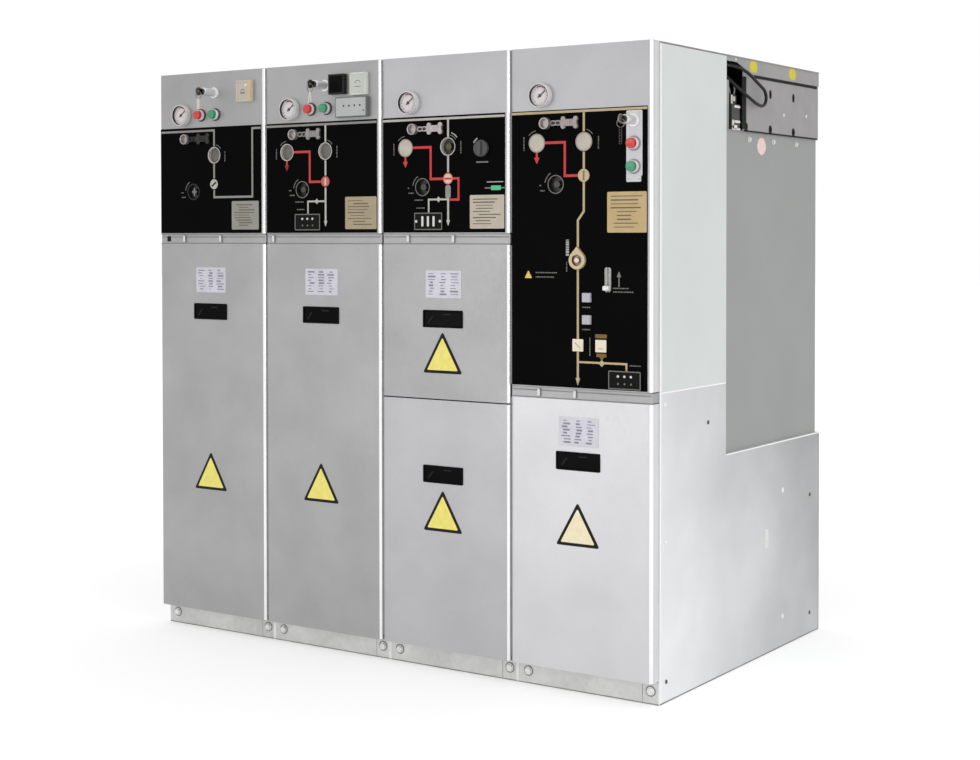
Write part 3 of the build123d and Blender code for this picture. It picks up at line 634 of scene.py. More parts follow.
class SWITCHGEAR_OT_diagram(bpy.types.Operator):
    """Single-line diagram: lines, arrows and symbols on the black plates."""
    bl_idname = "switchgear.diagram"
    bl_label = "Mimic diagram"

    def execute(self, context):
        sizes, colours = context.scene.switchgear_sizes, context.scene.switchgear_colours
        width, height = sizes.line_width / MM, sizes.print_height / MM
        grey, pale, gold, red, crimson, dim = [], [], [], [], [], []

        def line(group, n, *path, wide=width):
            """A stroke of the diagram."""
            group.append(on_mimic(n, strip(path, wide, height), 0, 0))

        def row(n, a, b, reach, upright=False):
            """A dim row of dashes."""
            dim.append(on_mimic(n, dashes(a, b, reach, int(1000 * n + a + b), upright), 0, 0))

        def symbol(group, n, corners, radius, swell):
            """A filled shape of the diagram."""
            edge = [(0, 0), (0, height), (swell, height * (1 + 2 * swell))]
            group.append(on_mimic(n, slab(rounded(corners, radius, 3), edge), 0, 0))

        def diamond(group, n, a, b, half):
            """A square on its corner."""
            symbol(group, n, [(a - half, b), (a, b - half), (a + half, b), (a, b + half)], 0.8, 0.3)

        # Feeder cubicle: a loop from the busbar through the switch and back up
        line(grey, 0, (7, 1322), (200, 1322), (200, 1280))
        line(grey, 0, (200, 1234), (200, 1196))
        line(grey, 0, (200, 1166), (200, 1147), (333, 1147), (333, 1323), (362, 1323))
        # Switch cubicles: busbar, switch, cable end, voltage tap
        for n, group in ((1, grey), (2, pale)):
            line(group, n, (7, Z_BUSBAR), (362, Z_BUSBAR))
            for high, low in ((1322, 1280), (1234, 1196), (1166, 1080)):
                line(pale, n, (A_LINE, high), (A_LINE, low))
            pale.append(on_mimic(n, arrow(A_LINE, 1068, 11, 15), 0, 0))
            line(pale, n, (199, 1132), (144, 1132), (144, 1101), wide=width * 0.8)
            diamond(pale, n, 173, 1132, 7)
        # Breaker cubicle
        line(gold, 3, (7, 1326), (362, 1326))
        line(gold, 3, (200, 1323), (200, 1280))
        line(gold, 3, (200, 1234), (200, 1196))
        line(gold, 3, (200, 1166), (200, 1100), (184.5, 1080), (184.5, 1020))
        line(gold, 3, (184.5, 970), (184.5, 811))
        line(gold, 3, (184.5, 785), (184.5, 722))
        gold.append(on_mimic(3, arrow(184.5, 706, 12, 18), 0, 0))
        line(gold, 3, (187, 760), (310, 760), (310, 745), wide=width * 0.85)
        diamond(gold, 3, 247, 759, 8)
        # Earthing lines
        for n in (1, 2, 3):
            line(red, n, (97, Z_SOCKET), (150, Z_SOCKET), (150, Z_POSITION), (186, Z_POSITION), wide=width * 1.1)
            line(red, n, (A_EARTH, 1235), (A_EARTH, 1222))
            (crimson if n == 1 else red).append(on_mimic(n, arrow(A_EARTH, 1209, 15, 15), 0, 0))
        line(red, 2, (214, Z_POSITION), (231, Z_POSITION), (231, 1131), (205, 1131))
        # Rotation arcs and rows of dashes
        for n in range(4):
            line(dim, n, *arc(29, 118, 172, (A_CHARGE, Z_CHARGE)), wide=2.0)
            row(n, 84, Z_CHARGE - 14, 18)
            row(n, 82, Z_CHARGE - 2, 10)
            row(n, 238, 1240, 32, True)
            line(dim, n, *arc(28, 35, 75, (A_SHAFT, Z_SOCKET)), wide=1.6)
        for n in (1, 2, 3):
            row(n, 40, 1240, 34, True)
            line(dim, n, *arc(28, 95, 140, (A_EARTH, Z_SOCKET)), wide=1.6)
        for n in (1, 2):
            row(n, 102, 1131, 30)
            row(n, 108, 1112, 26)
        line(dim, 2, (282, 1218), (316, 1218), wide=3.4)
        line(pale, 2, *arc(27, 118, 150, (A_KNOB, Z_KNOB)), wide=3.0)
        line(pale, 2, *arc(34, 38, 72, (A_SHAFT, Z_SOCKET)), wide=2.2)
        line(pale, 2, (312, 1171), (358, 1171), wide=2.0)
        line(dim, 2, (306, 1157), (362, 1157), wide=3.2)
        line(dim, 3, (291, 931), (291, 954), wide=3.0)
        symbol(dim, 3, [(285, 953), (297, 953), (291, 966)], 0.6, 0.2)
        for a, b, reach in ((72, 961, 62), (72, 951, 56), (196, 884, 24), (196, 834, 24), (276, 928, 42),
                            (276, 920, 56)):
            row(3, a, b, reach)
        pale.append(on_mimic(3, dashes(157, 1000, 42, 5, True, 8.0), 0, 0))
        row(3, 155, 964, 26, True)
        row(3, 216, 775, 44, True)
        row(3, 318, 757, 32)
        # Outlines of the voltage indicators
        for n, a, b in VOLTAGE_PLACES:
            dim.append(on_mimic(n, rim(box_outline(82, 41, 2.0, (a, b)), 2.2, height, 0.1), 0, 0, 4.0))
        # Fuse in the transformer cubicle
        grey.append(on_mimic(2, plate(15, 30, 4, 1.0, 0.3), A_LINE, 1150))
        for name, shapes, colour in (
                ("lines_grey", grey, "#96948F"), ("lines_pale", pale, colours.pale_line),
                ("lines_gold", gold, colours.gold_line), ("lines_red", red, colours.red_line),
                ("arrow_crimson", crimson, "#8E2A3C"), ("marks", dim, "#7B7A76")):
            tint = "dim" if name == "marks" else name.split("_")[1]
            make("diagram_" + name, shapes, ink(tint, colour))
        return {"FINISHED"}


class SWITCHGEAR_OT_positions(bpy.types.Operator):
    """Round position indicators in the diagram's main lines."""
    bl_idname = "switchgear.positions"
    bl_label = "Position indicators"

    def execute(self, context):
        # Column, radius, turn of the bar in degrees, and colours of face, bar and ring
        places = ((A_SHAFT, 13.0, 35, "#B9B7B0", "#2A2A28", "#C4C2BB"),
                  (A_LINE, 13.2, 90, "#B9655B", "#E8CFC4", "#C2544A"),
                  (A_LINE, 13.6, 0, "#E6BFB2", "#D23A30", "#E0836F"),
                  (A_SHAFT, 14.8, 90, "#C3AF86", "#8C7A56", "#CBB88E"))
        for n, (a, r, turn, face, mark, edge) in enumerate(places):
            name = "position_%d" % (n + 1)
            ring = turned([(r, 0), (r, 1.2), (r - 0.6, 1.8), (r - 2, 1.8), (r - 2.6, 1.2), (r - 2.6, 0), (r, 0)])
            disc = turned([(0, 0), (r - 2.6, 0), (r - 2.6, 0.8), (0, 1.0)])
            angle = math.radians(turn)
            reach = np.array([math.cos(angle), math.sin(angle)]) * (r - 4)
            for kind, shape, rise, material in (
                    ("_ring", ring, 0.0, moulded(name + "_ring", edge)),
                    ("_disc", disc, 0.0, moulded(name + "_disc", face, coat=0.5)),
                    ("_bar", strip([-reach, reach], 4.6, 0.5), 0.9, ink(name + "_bar", mark))):
                make(name + kind, [on_mimic(n, shape, a, Z_POSITION, rise)], material)
        return {"FINISHED"}


class SWITCHGEAR_OT_sockets(bpy.types.Operator):
    """Shaft sockets with shutters, and the charging sockets."""
    bl_idname = "switchgear.sockets"
    bl_label = "Shaft sockets"

    def execute(self, context):
        def sockets(shape, places):
            """A shape in each place of the sockets' row."""
            return [on_mimic(n, shape, a, Z_SOCKET) for n, a in places]

        def chargers(shape, cubicles, rise=0.0):
            """A shape in the charging socket of each cubicle."""
            return [on_mimic(n, shape, A_CHARGE, Z_CHARGE, rise) for n in cubicles]

        cup = turned([(0, -14), (21.6, -14), (21.6, 0.3), (21.2, 0.6), (20.4, 0.6), (20, 0.2), (19.8, -11.4),
                      (19.2, -12), (0, -12)], 56)
        sunk = turned([(0, -12), (19.6, -12), (19.6, -9.6), (19, -9), (9, -9), (8.4, -9.5), (0, -9.5)], 48)
        near = turned([(0, -12), (19.7, -12), (19.7, -0.6), (19.2, 0.2), (18, 0.5), (0, 0.7)], 48)
        floor = turned([(0, -12), (19.6, -12), (19.6, -11.4), (0, -11.2)], 40)
        shaft = slab(rounded(arc(9.5, 0, 300, steps=6), 1.0, 3), [(0, -12), (0, -4), (1.2, -3)])
        # Cubicle and column of the sunk, the open and the pale sockets
        grey = ((0, A_SHAFT), (1, A_EARTH), (1, A_SHAFT))
        bare = ((2, A_SHAFT),)
        pale = ((2, A_EARTH), (3, A_EARTH), (3, A_SHAFT))
        make("socket_cups", sockets(cup, grey + bare), zinc("socket", "#D6D2CB", 0.5, 0.4, 12.0),
             replaces=("shaft_sockets",))
        make("socket_cups_pale", sockets(cup, pale), moulded("shutter_rim", "#AEA69A", 0.45))
        make("socket_shutters_grey", sockets(sunk, grey), zinc("shutter_grey", "#716E69", cloud=14.0, mottle=0.12))
        make("socket_shutters_pale", sockets(near, pale),
             zinc("shutter_pale", "#C0B8AC", 0.2, cloud=14.0, mottle=0.06))
        make("socket_floor_dark", sockets(floor, bare), moulded("socket_floor", "#1B1B14"))
        make("socket_shaft", sockets(shaft, bare), plated("shaft_olive", "#55533E", 0.4))
        make("charge_shafts", chargers(shaft, range(4)), plated("shaft_dark", "#4C4B48", 0.4))
        well = turned([(0, -14), (20.4, -14), (20.4, 0), (21.4, 0), (21.4, 0.3), (20, 0.3), (19.6, 0.1),
                       (19.2, -11.5), (0, -12)], 48)
        make("charge_wells", chargers(well, range(4)), moulded("charge_well", "#161616"),
             replaces=("charge_sockets",))
        ring = turned([(21.4, 0.2), (21.4, 0.9), (19.6, 0.9), (19.6, 0.2), (21.4, 0.2)], 48)
        make("charge_rings", chargers(ring, (1, 2, 3)), moulded("charge_ring", "#77736B", 0.4))
        # A bright cross in the feeder cubicle's charging socket: a painted highlight.
        cross = join(strip([(-8, 0), (8, 0)], 3.2, 0.6), strip([(0, -11), (0, 11)], 3.2, 0.6))
        make("charge_cross_painted_highlight", chargers(cross, (0,), -3.2), plated("cross", "#8B8985", 0.42))
        return {"FINISHED"}


class SWITCHGEAR_OT_locks(bpy.types.Operator):
    """Interlock slide bars over the sockets: hollow grips, linked bars and lobed plates, the bars in tones of painted
    light and shade.
    """
    bl_idname = "switchgear.locks"
    bl_label = "Interlock bars"

    def execute(self, context):
        grip = turned([(0, 0), (13.4, 0), (13.5, 9.6), (12.9, 11), (11, 11), (10.4, 10.2), (10.2, 3), (0, 3)], 40)
        link = slab(box_outline(17, 13, 6.4),
                    [(0, 0), (0, 4.6), (0.8, 5.6), (2.6, 5.6), (3.4, 4.6), (3.4, 0), (0, 0)], closed=False)
        bar = slab(box_outline(44, 16.4, 3.5), [(0, 0), (0, 5.4), (0.6, 6.4), (1.4, 6.8)])
        lobe = turned([(0, 0), (6, 0), (6, 5.8), (5.2, 7), (0, 7)], 24)
        rib = strip([(0, -6.5), (0, 6.5)], 2.2, 0.9)
        parts = [moved(link, a, 0) for a in (121, 134)] + [moved(bar, 163, 0)]
        parts += [moved(lobe, a, side * 8.5) for a in (148.4, 181) for side in (-1, 1)]
        parts += [moved(rib, a, 0, 6.8) for a in (154, 160, 166, 172)]
        # Each cubicle's bar has its own tone of painted light and shade, darkest on the feeder cubicle.
        for n, tone in enumerate(("#343332", "#908B89", "#ACA7A5", "#968F8D")):
            make("interlock_bar_%d" % (n + 1), [on_mimic(n, part, 0, Z_LOCK) for part in parts],
                 die_cast("bar_%d" % (n + 1), tone, 0.18),
                 replaces=("lock_bars",) if n == 0 else ())
        make("interlock_grips", [on_mimic(n, grip, 100, Z_LOCK) for n in range(4)],
             die_cast("grip", "#A9A3A1", 0.15))
        make("interlock_backs", [on_mimic(n, plate(40, 9, 3, 2.2, 0.5), 128, Z_LOCK) for n in range(4)],
             moulded("interlock_back", "#232222"))
        return {"FINISHED"}


class SWITCHGEAR_OT_gauges(bpy.types.Operator):
    """Pressure gauges: pale rims, black wells, dials with ticks and pointers."""
    bl_idname = "switchgear.gauges"
    bl_label = "Pressure gauges"

    def execute(self, context):
        def ray(degrees):
            """Unit vector at an angle."""
            return np.array([math.cos(math.radians(degrees)), math.sin(math.radians(degrees))])

        face = 7.0  # height of the dial
        case = turned([(25.2, 4), (25.2, 0), (28, 0), (28, 12.6), (27.4, 14.4), (26.4, 15), (25.6, 14.8),
                       (25.2, 14.2), (25.2, 4)], 64)
        well = turned([(25.2, 14), (24.8, 14.2), (24.4, 7.4), (24.4, 5), (25.2, 5), (25.2, 14)], 64)
        dial = turned([(0, 0), (25, 0), (25, 6.8), (24, face), (0, face)], 48)
        ticks = [moved(strip([ray(turn) * 17, ray(turn) * 21], 1.0, 0.25), 0, 0, face)
                 for turn in np.linspace(-45, 225, 13)]
        red = moved(strip(arc(21, 48, 110), 3.0, 0.25), 0, 0, face)
        green = moved(strip(arc(21, -20, 40), 2.6, 0.25), 0, 0, face)
        pointer = moved(strip([ray(38) * -7, ray(38) * 18], 2.6, 0.6), 0, 0, 7.8)
        hub = turned([(0, 6.5), (3.6, 6.5), (3.6, 8.6), (3, 9.2), (0, 9.4)], 24)
        for name, shapes, material, nodes in (
                ("gauge_cases", [case], moulded("gauge_case", "#D9D7D7", 0.3, coat=0.4), ("pressure_gauges",)),
                ("gauge_wells", [well], moulded("gauge_well", "#1C1C1D", 0.4), ()),
                ("gauge_dials", [dial], ink("dial", "#EAE4E5"), ()),
                ("gauge_ticks", ticks, ink("tick", "#6A6263"), ()),
                ("gauge_red_zones", [red], ink("zone_red", "#A5545C"), ()),
                ("gauge_green_zones", [green], ink("zone_green", "#9DB5A4"), ()),
                ("gauge_pointers", [pointer, hub], moulded("pointer", "#4A3238"), ())):
            make(name, [on_face(n, shape, A_GAUGE, Z_GAUGE) for n in range(4) for shape in shapes], material,
                 replaces=nodes)
        return {"FINISHED"}


class SWITCHGEAR_OT_buttons(bpy.types.Operator):
    """Round push-buttons: dark escutcheons, pale collars and coloured lenses that move in."""
    bl_idname = "switchgear.buttons"
    bl_label = "Push-buttons"

    def execute(self, context):
        # Seat of each push-button, by the name of its body
        places = {}
        for n in (0, 1):
            places["red_button_%d" % (n + 1)] = (LEFTS[n] + 153, Y_FACE, Z_BUTTON)
            places["green_button_%d" % (n + 1)] = (LEFTS[n] + 204, Y_FACE, Z_BUTTON)
        places["red_button_4"] = (LEFTS[3] + A_STRIP, Y_STRIP, 1249)
        places["green_button_4"] = (LEFTS[3] + A_STRIP, Y_STRIP, 1198)
        ring = turned([(13.4, 0), (16.5, 0), (16.5, 2), (15.8, 3), (13.4, 3), (13.4, 0)], 40)
        collar = turned([(11.6, 0), (13.5, 0), (13.5, 9.4), (13.1, 10.6), (12.6, 11), (12, 10.8), (11.6, 10.2),
                         (11.6, 0)], 40)
        swell = np.radians(np.linspace(0, 90, 6))
        brow = np.stack([9.6 + 1.7 * np.cos(swell), 18.2 + 1.8 * np.sin(swell)], -1).tolist()
        lens = turned([(0, 4.3), (11.3, 4.3)] + brow + [(7, 19.6), (3, 19.3), (0, 19.2)], 40)
        make("button_rings", [seated(ring, place) for name, place in places.items() if not name.endswith("4")],
             moulded("escutcheon", "#2A2A2B", 0.35))
        make("button_rings_pale", [seated(ring, place) for name, place in places.items() if name.endswith("4")],
             moulded("escutcheon_grey", "#8E8D90", 0.35))
        make("button_collars", [seated(collar, place) for place in places.values()],
             moulded("collar", "#E9E6E4", 0.28, coat=0.4), replaces=("button_bezels",))
        for name, place in places.items():
            tint = name.split("_")[0]
            colour = getattr(context.scene.switchgear_colours, tint + "_button")
            make(name + "_lens", [seated(lens, place)], moulded("lens_" + tint, colour, 0.25, coat=0.6),
                 body=name, replaces=(name,))
        return {"FINISHED"}


class SWITCHGEAR_OT_keys(bpy.types.Operator):
    """Key switches: pale barrels, dark locks, keys with rings and tags."""
    bl_idname = "switchgear.keys"
    bl_label = "Key switches"

    def execute(self, context):
        seats = [(LEFTS[0] + 201, Y_FACE, Z_KEY), (LEFTS[1] + 201, Y_FACE, Z_KEY),
                 (LEFTS[3] + A_STRIP, Y_STRIP, 1300)]
        reach = 60  # from the seat to the key's middle
        barrel = turned([(0, 0), (15, 0), (15, 2.6), (14.2, 4), (11.4, 4.2), (10.5, 5), (10.5, 42), (10.2, 44.6),
                         (9.4, 46), (0, 46)], 44)
        lock = turned([(0, 45), (8.5, 45), (8.5, 50), (7.8, 51), (0, 51)], 36)
        bow = slab(rounded(arc(11, 0, 345, steps=24), 0.5, 2),
                   [(0, -1.25), (0, 0.7), (0.6, 1.25), (7, 1.25), (7.5, 0.8), (7.5, -1.25), (0, -1.25)], closed=False)
        stem = moved(plate(12, 9, 1, 2.5, 0.5), 6, 0, -1.25)
        ring = hoop(9.5, 0.9)
        keys = []
        for x, y, z in seats:
            keys += [seated(part, (x, y - reach, z), "right") for part in (bow, stem)]
            keys.append(seated(ring, (x, y - reach, z - 9.5)))
        # Satin chrome: a soft mirror, nearly even in tone
        chrome = finish("chrome_satin", "#E6E6E6", metallic=0.55, roughness=0.38, cloud=18.0, mottle=0.03,
                        relief=0.004)
        make("key_barrels", [seated(barrel, seat) for seat in seats], chrome, replaces=("key_switches",))
        make("key_locks", [seated(lock, seat) for seat in seats], plated("lock_dark", "#5A5654", 0.35))
        make("keys", keys, plated("key", "#7E7974", 0.32))
        tag = slab(rounded([(-4.5, -28), (4.5, -28), (5.5, -5), (2.5, 0), (-2.5, 0), (-5.5, -5)], 1.5, 4),
                   [(0, 0), (0, 0.8), (0.4, 1.2)])
        ribbon = join(strip([(-5, -29), (-3, -12), (0, 0)], 2.6, 0.8),
                      moved(strip([(4, -26), (3, -12), (0, 0)], 2.6, 0.8), 0, 0, 0.9))
        chain = join(*[moved(hoop(3.4, 0.8, 20, 8), 0, -4 - 6 * k, 0.5 * (k % 2)) for k in range(6)])
        # Woven ribbon: matt threads half a millimetre apart
        woven = finish("polyester_woven", "#E4DAD8", roughness=0.7, cloud=3.0, mottle=0.12, grain=(0.5, 0.5, 0.5),
                       relief=0.05)
        for name, shape, material, (x, y, z) in zip(
                ("key_tag", "key_ribbon", "key_chain"), (tag, ribbon, chain),
                (moulded("tag", "#D6CCCB", 0.45), woven, plated("chain", "#4E4A47", 0.4)), seats):
            make(name, [seated(shape, (x, y - 60.7, z - 18.2))], material)
        return {"FINISHED"}


class SWITCHGEAR_OT_meters(bpy.types.Operator):
    """Square devices and the line indicator on the instrument strips."""
    bl_idname = "switchgear.meters"
    bl_label = "Meters"

    def execute(self, context):
        edge = [(0, 0), (0, 10.8), (0.5, 11.7), (1.2, 12), (3.4, 12), (4, 11.4), (4, 10.5)]
        level = Z_METER - 2
        tall, tall_face = slab(box_outline(50, 55, 2.0), edge), plate(41.6, 46.6, 1.0, 0.4, 0.2)
        for n, case, face, nodes in (
                (0, moulded("meter_cream", "#CFC6B6", 0.45), moulded("meter_cream_face", "#C4BCB0", 0.35),
                 ("pale_meters",)),
                (1, moulded("meter_ivory", "#DADDD4", 0.4), moulded("meter_ivory_face", "#C6CBC3", 0.3, coat=0.5),
                 ())):
            name = "meter_pale_%d" % (n + 1)
            make(name, [on_face(n, tall, A_METER, level)], case, replaces=nodes)
            make(name + "_face", [on_face(n, tall_face, A_METER, level, 10.4)], face)
        marks = [on_face(0, plate(15, 3.4, 1.2, 0.5, 0.2), 309, 1414, 10.8),
                 on_face(0, strip([(-7, 4), (0, 10), (7, 4)], 1.6, 0.4), 309, 1414, 10.8),
                 on_face(1, strip([(-9, 0), (9, 0)], 1.6, 0.4), A_METER, 1412, 10.8),
                 on_face(1, strip(arc(9, 20, 160), 1.4, 0.4), A_METER, 1418, 10.8)]
        make("meter_marks", marks, ink("meter_mark", "#7C776C"))
        make("meter_pale_1_flank", [on_face(0, plate(9, 53, 1.5, 12.6, 0.5), 331, level)],
             moulded("meter_gold", "#D8BE8A", 0.4))
        make("meter_lamps", [on_face(0, screw_head(3.4, 2.0), 319, 1434, 10.7)],
             moulded("lamp", "#F2EEE6", 0.25, coat=0.6))
        make("meter_black", [on_face(1, slab(box_outline(50, 50, 2.0), edge), 243, Z_METER)],
             moulded("meter_black", "#1C1C1D", 0.45, specular=0.25), replaces=("black_meter",))
        make("meter_black_face", [on_face(1, plate(41.6, 41.6, 1.0, 0.4, 0.2), 243, Z_METER, 10.4)],
             moulded("display", "#050506", 0.3, specular=0.06))
        column = 289  # of the line indicator
        case = slab(box_outline(98, 50, 2.0), [(0, 0), (0, 10.8), (0.5, 11.7), (1.0, 12), (2.0, 12), (2.6, 11.2)])
        make("indicator_case", [on_face(1, case, column, Z_BUTTON)], moulded("indicator_case", "#6D6F6E", 0.45),
             replaces=("line_indicator",))
        make("indicator_face", [on_face(1, plate(93, 45, 1.0, 0.4, 0.15), column, Z_BUTTON, 11.0)],
             moulded("indicator_face", "#B9BBBA", 0.4))
        dot = turned([(0, 0), (2.6, 0), (2.6, 0.3), (1.8, 0.5), (0, 0.5)], 18)
        dots = [on_face(1, dot, column - 22 + 17 * k, 1366, 11.4) for k in range(4)]
        dots.append(on_face(1, turned([(0, 0), (2, 0), (2, 0.3), (0, 0.5)], 16), 329, 1353, 11.4))
        make("indicator_dots", dots, ink("indicator_dot", "#4B4B4A"))
        return {"FINISHED"}


class SWITCHGEAR_OT_voltage(bpy.types.Operator):
    """Voltage indicators: lamps and test points over the black cases."""
    bl_idname = "switchgear.voltage"
    bl_label = "Voltage indicators"

    def execute(self, context):
        dress("voltage_indicators", moulded("indicator_black", "#0C0C0C", 0.5, specular=0.1))
        lamp = turned([(0, 0), (3.0, 0), (3.0, 2.4), (2.4, 3.2), (0, 3.6)], 20)
        point = turned([(0, 0), (2.4, 0), (2.4, 1.6), (0, 1.8)], 18)
        phases = (-16.5, 0, 16.5)
        lamps, points = [], []
        for n, a, b in (VOLTAGE_PLACES[0], VOLTAGE_PLACES[2]):
            lamps += [on_mimic(n, lamp, a + phase, b + 8.25, 2.0) for phase in phases]
            points += [on_mimic(n, point, a + phase, b - 8.25, 2.0) for phase in phases]
        lamps += [on_mimic(2, plate(5.6, 25, 2, 1.4, 0.5), A_TAP + phase, Z_TAP, 4.0) for phase in phases]
        lamps += [on_mimic(2, screw_head(3.4, 1.8), A_TAP + side * 35, Z_TAP, 4.0) for side in (-1, 1)]
        make("voltage_lamps", lamps, moulded("lamp_white", "#DDDDD9", 0.35, coat=0.2))
        make("voltage_points", points, moulded("point_grey", "#6A6A68", 0.4))
        return {"FINISHED"}


class SWITCHGEAR_OT_knob(bpy.types.Operator):
    """Fluted lock knob, and the green indicator bar beneath it."""
    bl_idname = "switchgear.knob"
    bl_label = "Lock knob"

    def execute(self, context):
        # Outline r(t) = 19.4 + 0.6 cos(24 t): 24 flutes
        angle = np.linspace(0, 2 * np.pi, 120, endpoint=False)
        radius = 19.4 + 0.6 * np.cos(24 * angle)
        outline = np.stack([radius * np.cos(angle), radius * np.sin(angle)], -1)
        knob = slab(outline, [(0, 0), (0, 7.4), (0.8, 8.6), (2.2, 9)])
        grip = slab(box_outline(8, 33, 3), [(0, 9), (0, 13), (1, 14.6), (2, 15)])
        make("knob_body", [on_mimic(2, part, A_KNOB, Z_KNOB) for part in (knob, grip)],
             moulded("knob", "#4A4A4C", 0.45), replaces=("rotary_knob",))
        make("green_bar", [on_mimic(2, plate(28, 11, 2, 1.4, 0.5), 338, 1157, 0.2)],
             moulded("green_bar", "#2FB873", 0.3, coat=0.4))
        return {"FINISHED"}


class SWITCHGEAR_OT_breaker(bpy.types.Operator):
    """Breaker controls: switch strip, teardrop boss, push keys, slider and state panes."""
    bl_idname = "switchgear.breaker"
    bl_label = "Breaker controls"

    def execute(self, context):
        # Painted white steel: nearly even, with a faint peel
        white = finish("steel_painted_white", "#D5D4D9", roughness=0.4, cloud=40.0, mottle=0.04, relief=0.01)
        make("strip_plate", [on_mimic(3, plate(40, 145, 3, 2.0, 0.5), A_STRIP, 1249.5),
                             on_mimic(3, plate(37, 20, 3, 1.98, 0.5), 328.5, 1174)], white,
             replaces=("switch_strip",))
        make("strip_screws", [on_mimic(3, screw_head(2.6, 1.2), a, b, 2.0) for a in (315, 344) for b in (1316, 1170)],
             plated("strip_screw", "#B9B7B4", 0.3))
        # Teardrop: a circle of radius 21 drawn out to a point 31 above its middle
        lean = math.degrees(math.acos(21 / 31))
        drop = np.concatenate([arc(21, 90 + lean, 450 - lean, steps=44), [[0.0, 31.0]]])
        well = turned([(0, 0), (13.0, 0), (13.0, 6.4), (12.4, 6.4), (11.8, 2.2), (0, 2)], 40)
        pin = turned([(0, 1.6), (6.4, 1.6), (6.4, 7), (5.6, 8), (2.4, 8), (1.8, 7.2), (0, 7.2)], 32)
        # Cast brass: warm and cloudy, with a dull mirror
        brass = finish("brass_cast", "#C6B591", metallic=0.3, roughness=0.42, cloud=20.0, mottle=0.06)
        for name, shape, material, nodes in (
                ("boss_body", bored(drop, 13.0, 8.0, 1.0), brass, ("shaft_boss",)),
                ("boss_well", well, plated("boss_well", "#85786C", 0.45), ()),
                ("boss_pin", pin, plated("boss_pin", "#C4B1A4", 0.35), ())):
            make(name, [on_mimic(3, shape, A_BOSS, Z_BOSS)], material, replaces=nodes)
        cap = slab(box_outline(21, 21, 1.5), [(0, -14), (0, 5.6), (0.5, 6.6), (1.3, 7)])
        for name, b in (("push_key_on", 906), ("push_key_off", 856)):
            make(name + "_cap", [on_mimic(3, cap, 209, b)], moulded("push_cap", "#BBB9C2", 0.45),
                 body=name, replaces=(name,))
        guides = [slab(box_outline(8.0, 57.2, 3.4, (side * 4.7, 0)), [(0, -6), (0, -1.0), (0.5, -0.4)])
                  for side in (-1, 1)]
        make("slider_guides", [on_mimic(3, guide, A_SLIDER, Z_SLIDER) for guide in guides],
             zinc("guide", "#9F9E9B", 0.5, 0.5, 8.0, 0.15))
        foot = Z_SLIDER - 19  # level of the slider's head at rest
        head = slab(box_outline(15, 11, 3.0), [(0, 0.5), (0, 10.6), (0.8, 12), (2.4, 12.5)])
        make("slider_knob", [on_mimic(3, head, A_SLIDER, foot),
                             on_mimic(3, plate(1.2, 9, 0.5, 9, 0.2), A_SLIDER, foot, -7.5)],
             moulded("slider", "#EDEDEA", 0.3, coat=0.3), body="interlock_slider",
             replaces=("interlock_slider",))
        right = 245  # column of the right state pane
        make("state_panes", [on_mimic(3, plate(28, 28, 1.5, 2.0, 0.5), a, Z_STATE) for a in (A_BOSS, right)],
             moulded("state_pane", "#EBDFC8", 0.3, coat=0.5), replaces=("state_windows",))
        marks = [on_mimic(3, strip([(-7, 6), (7, -7)], 1.4, 0.3), A_BOSS, Z_STATE, 2.0),
                 on_mimic(3, strip([(-6, -6), (6, -6)], 1.4, 0.3), right, Z_STATE, 2.0)]
        make("state_marks", marks, ink("state_mark", "#9C8558"))
        tags = [on_mimic(3, plate(30, 9, 1.5, 0.8, 0.3), right, 820),
                on_mimic(3, plate(26, 8, 1.5, 0.8, 0.3), 246, 777), on_mimic(3, arrow(247, 764, 12, 9), 0, 0)]
        make("state_tags", tags, ink("state_tag", "#7C6336"))
        return {"FINISHED"}


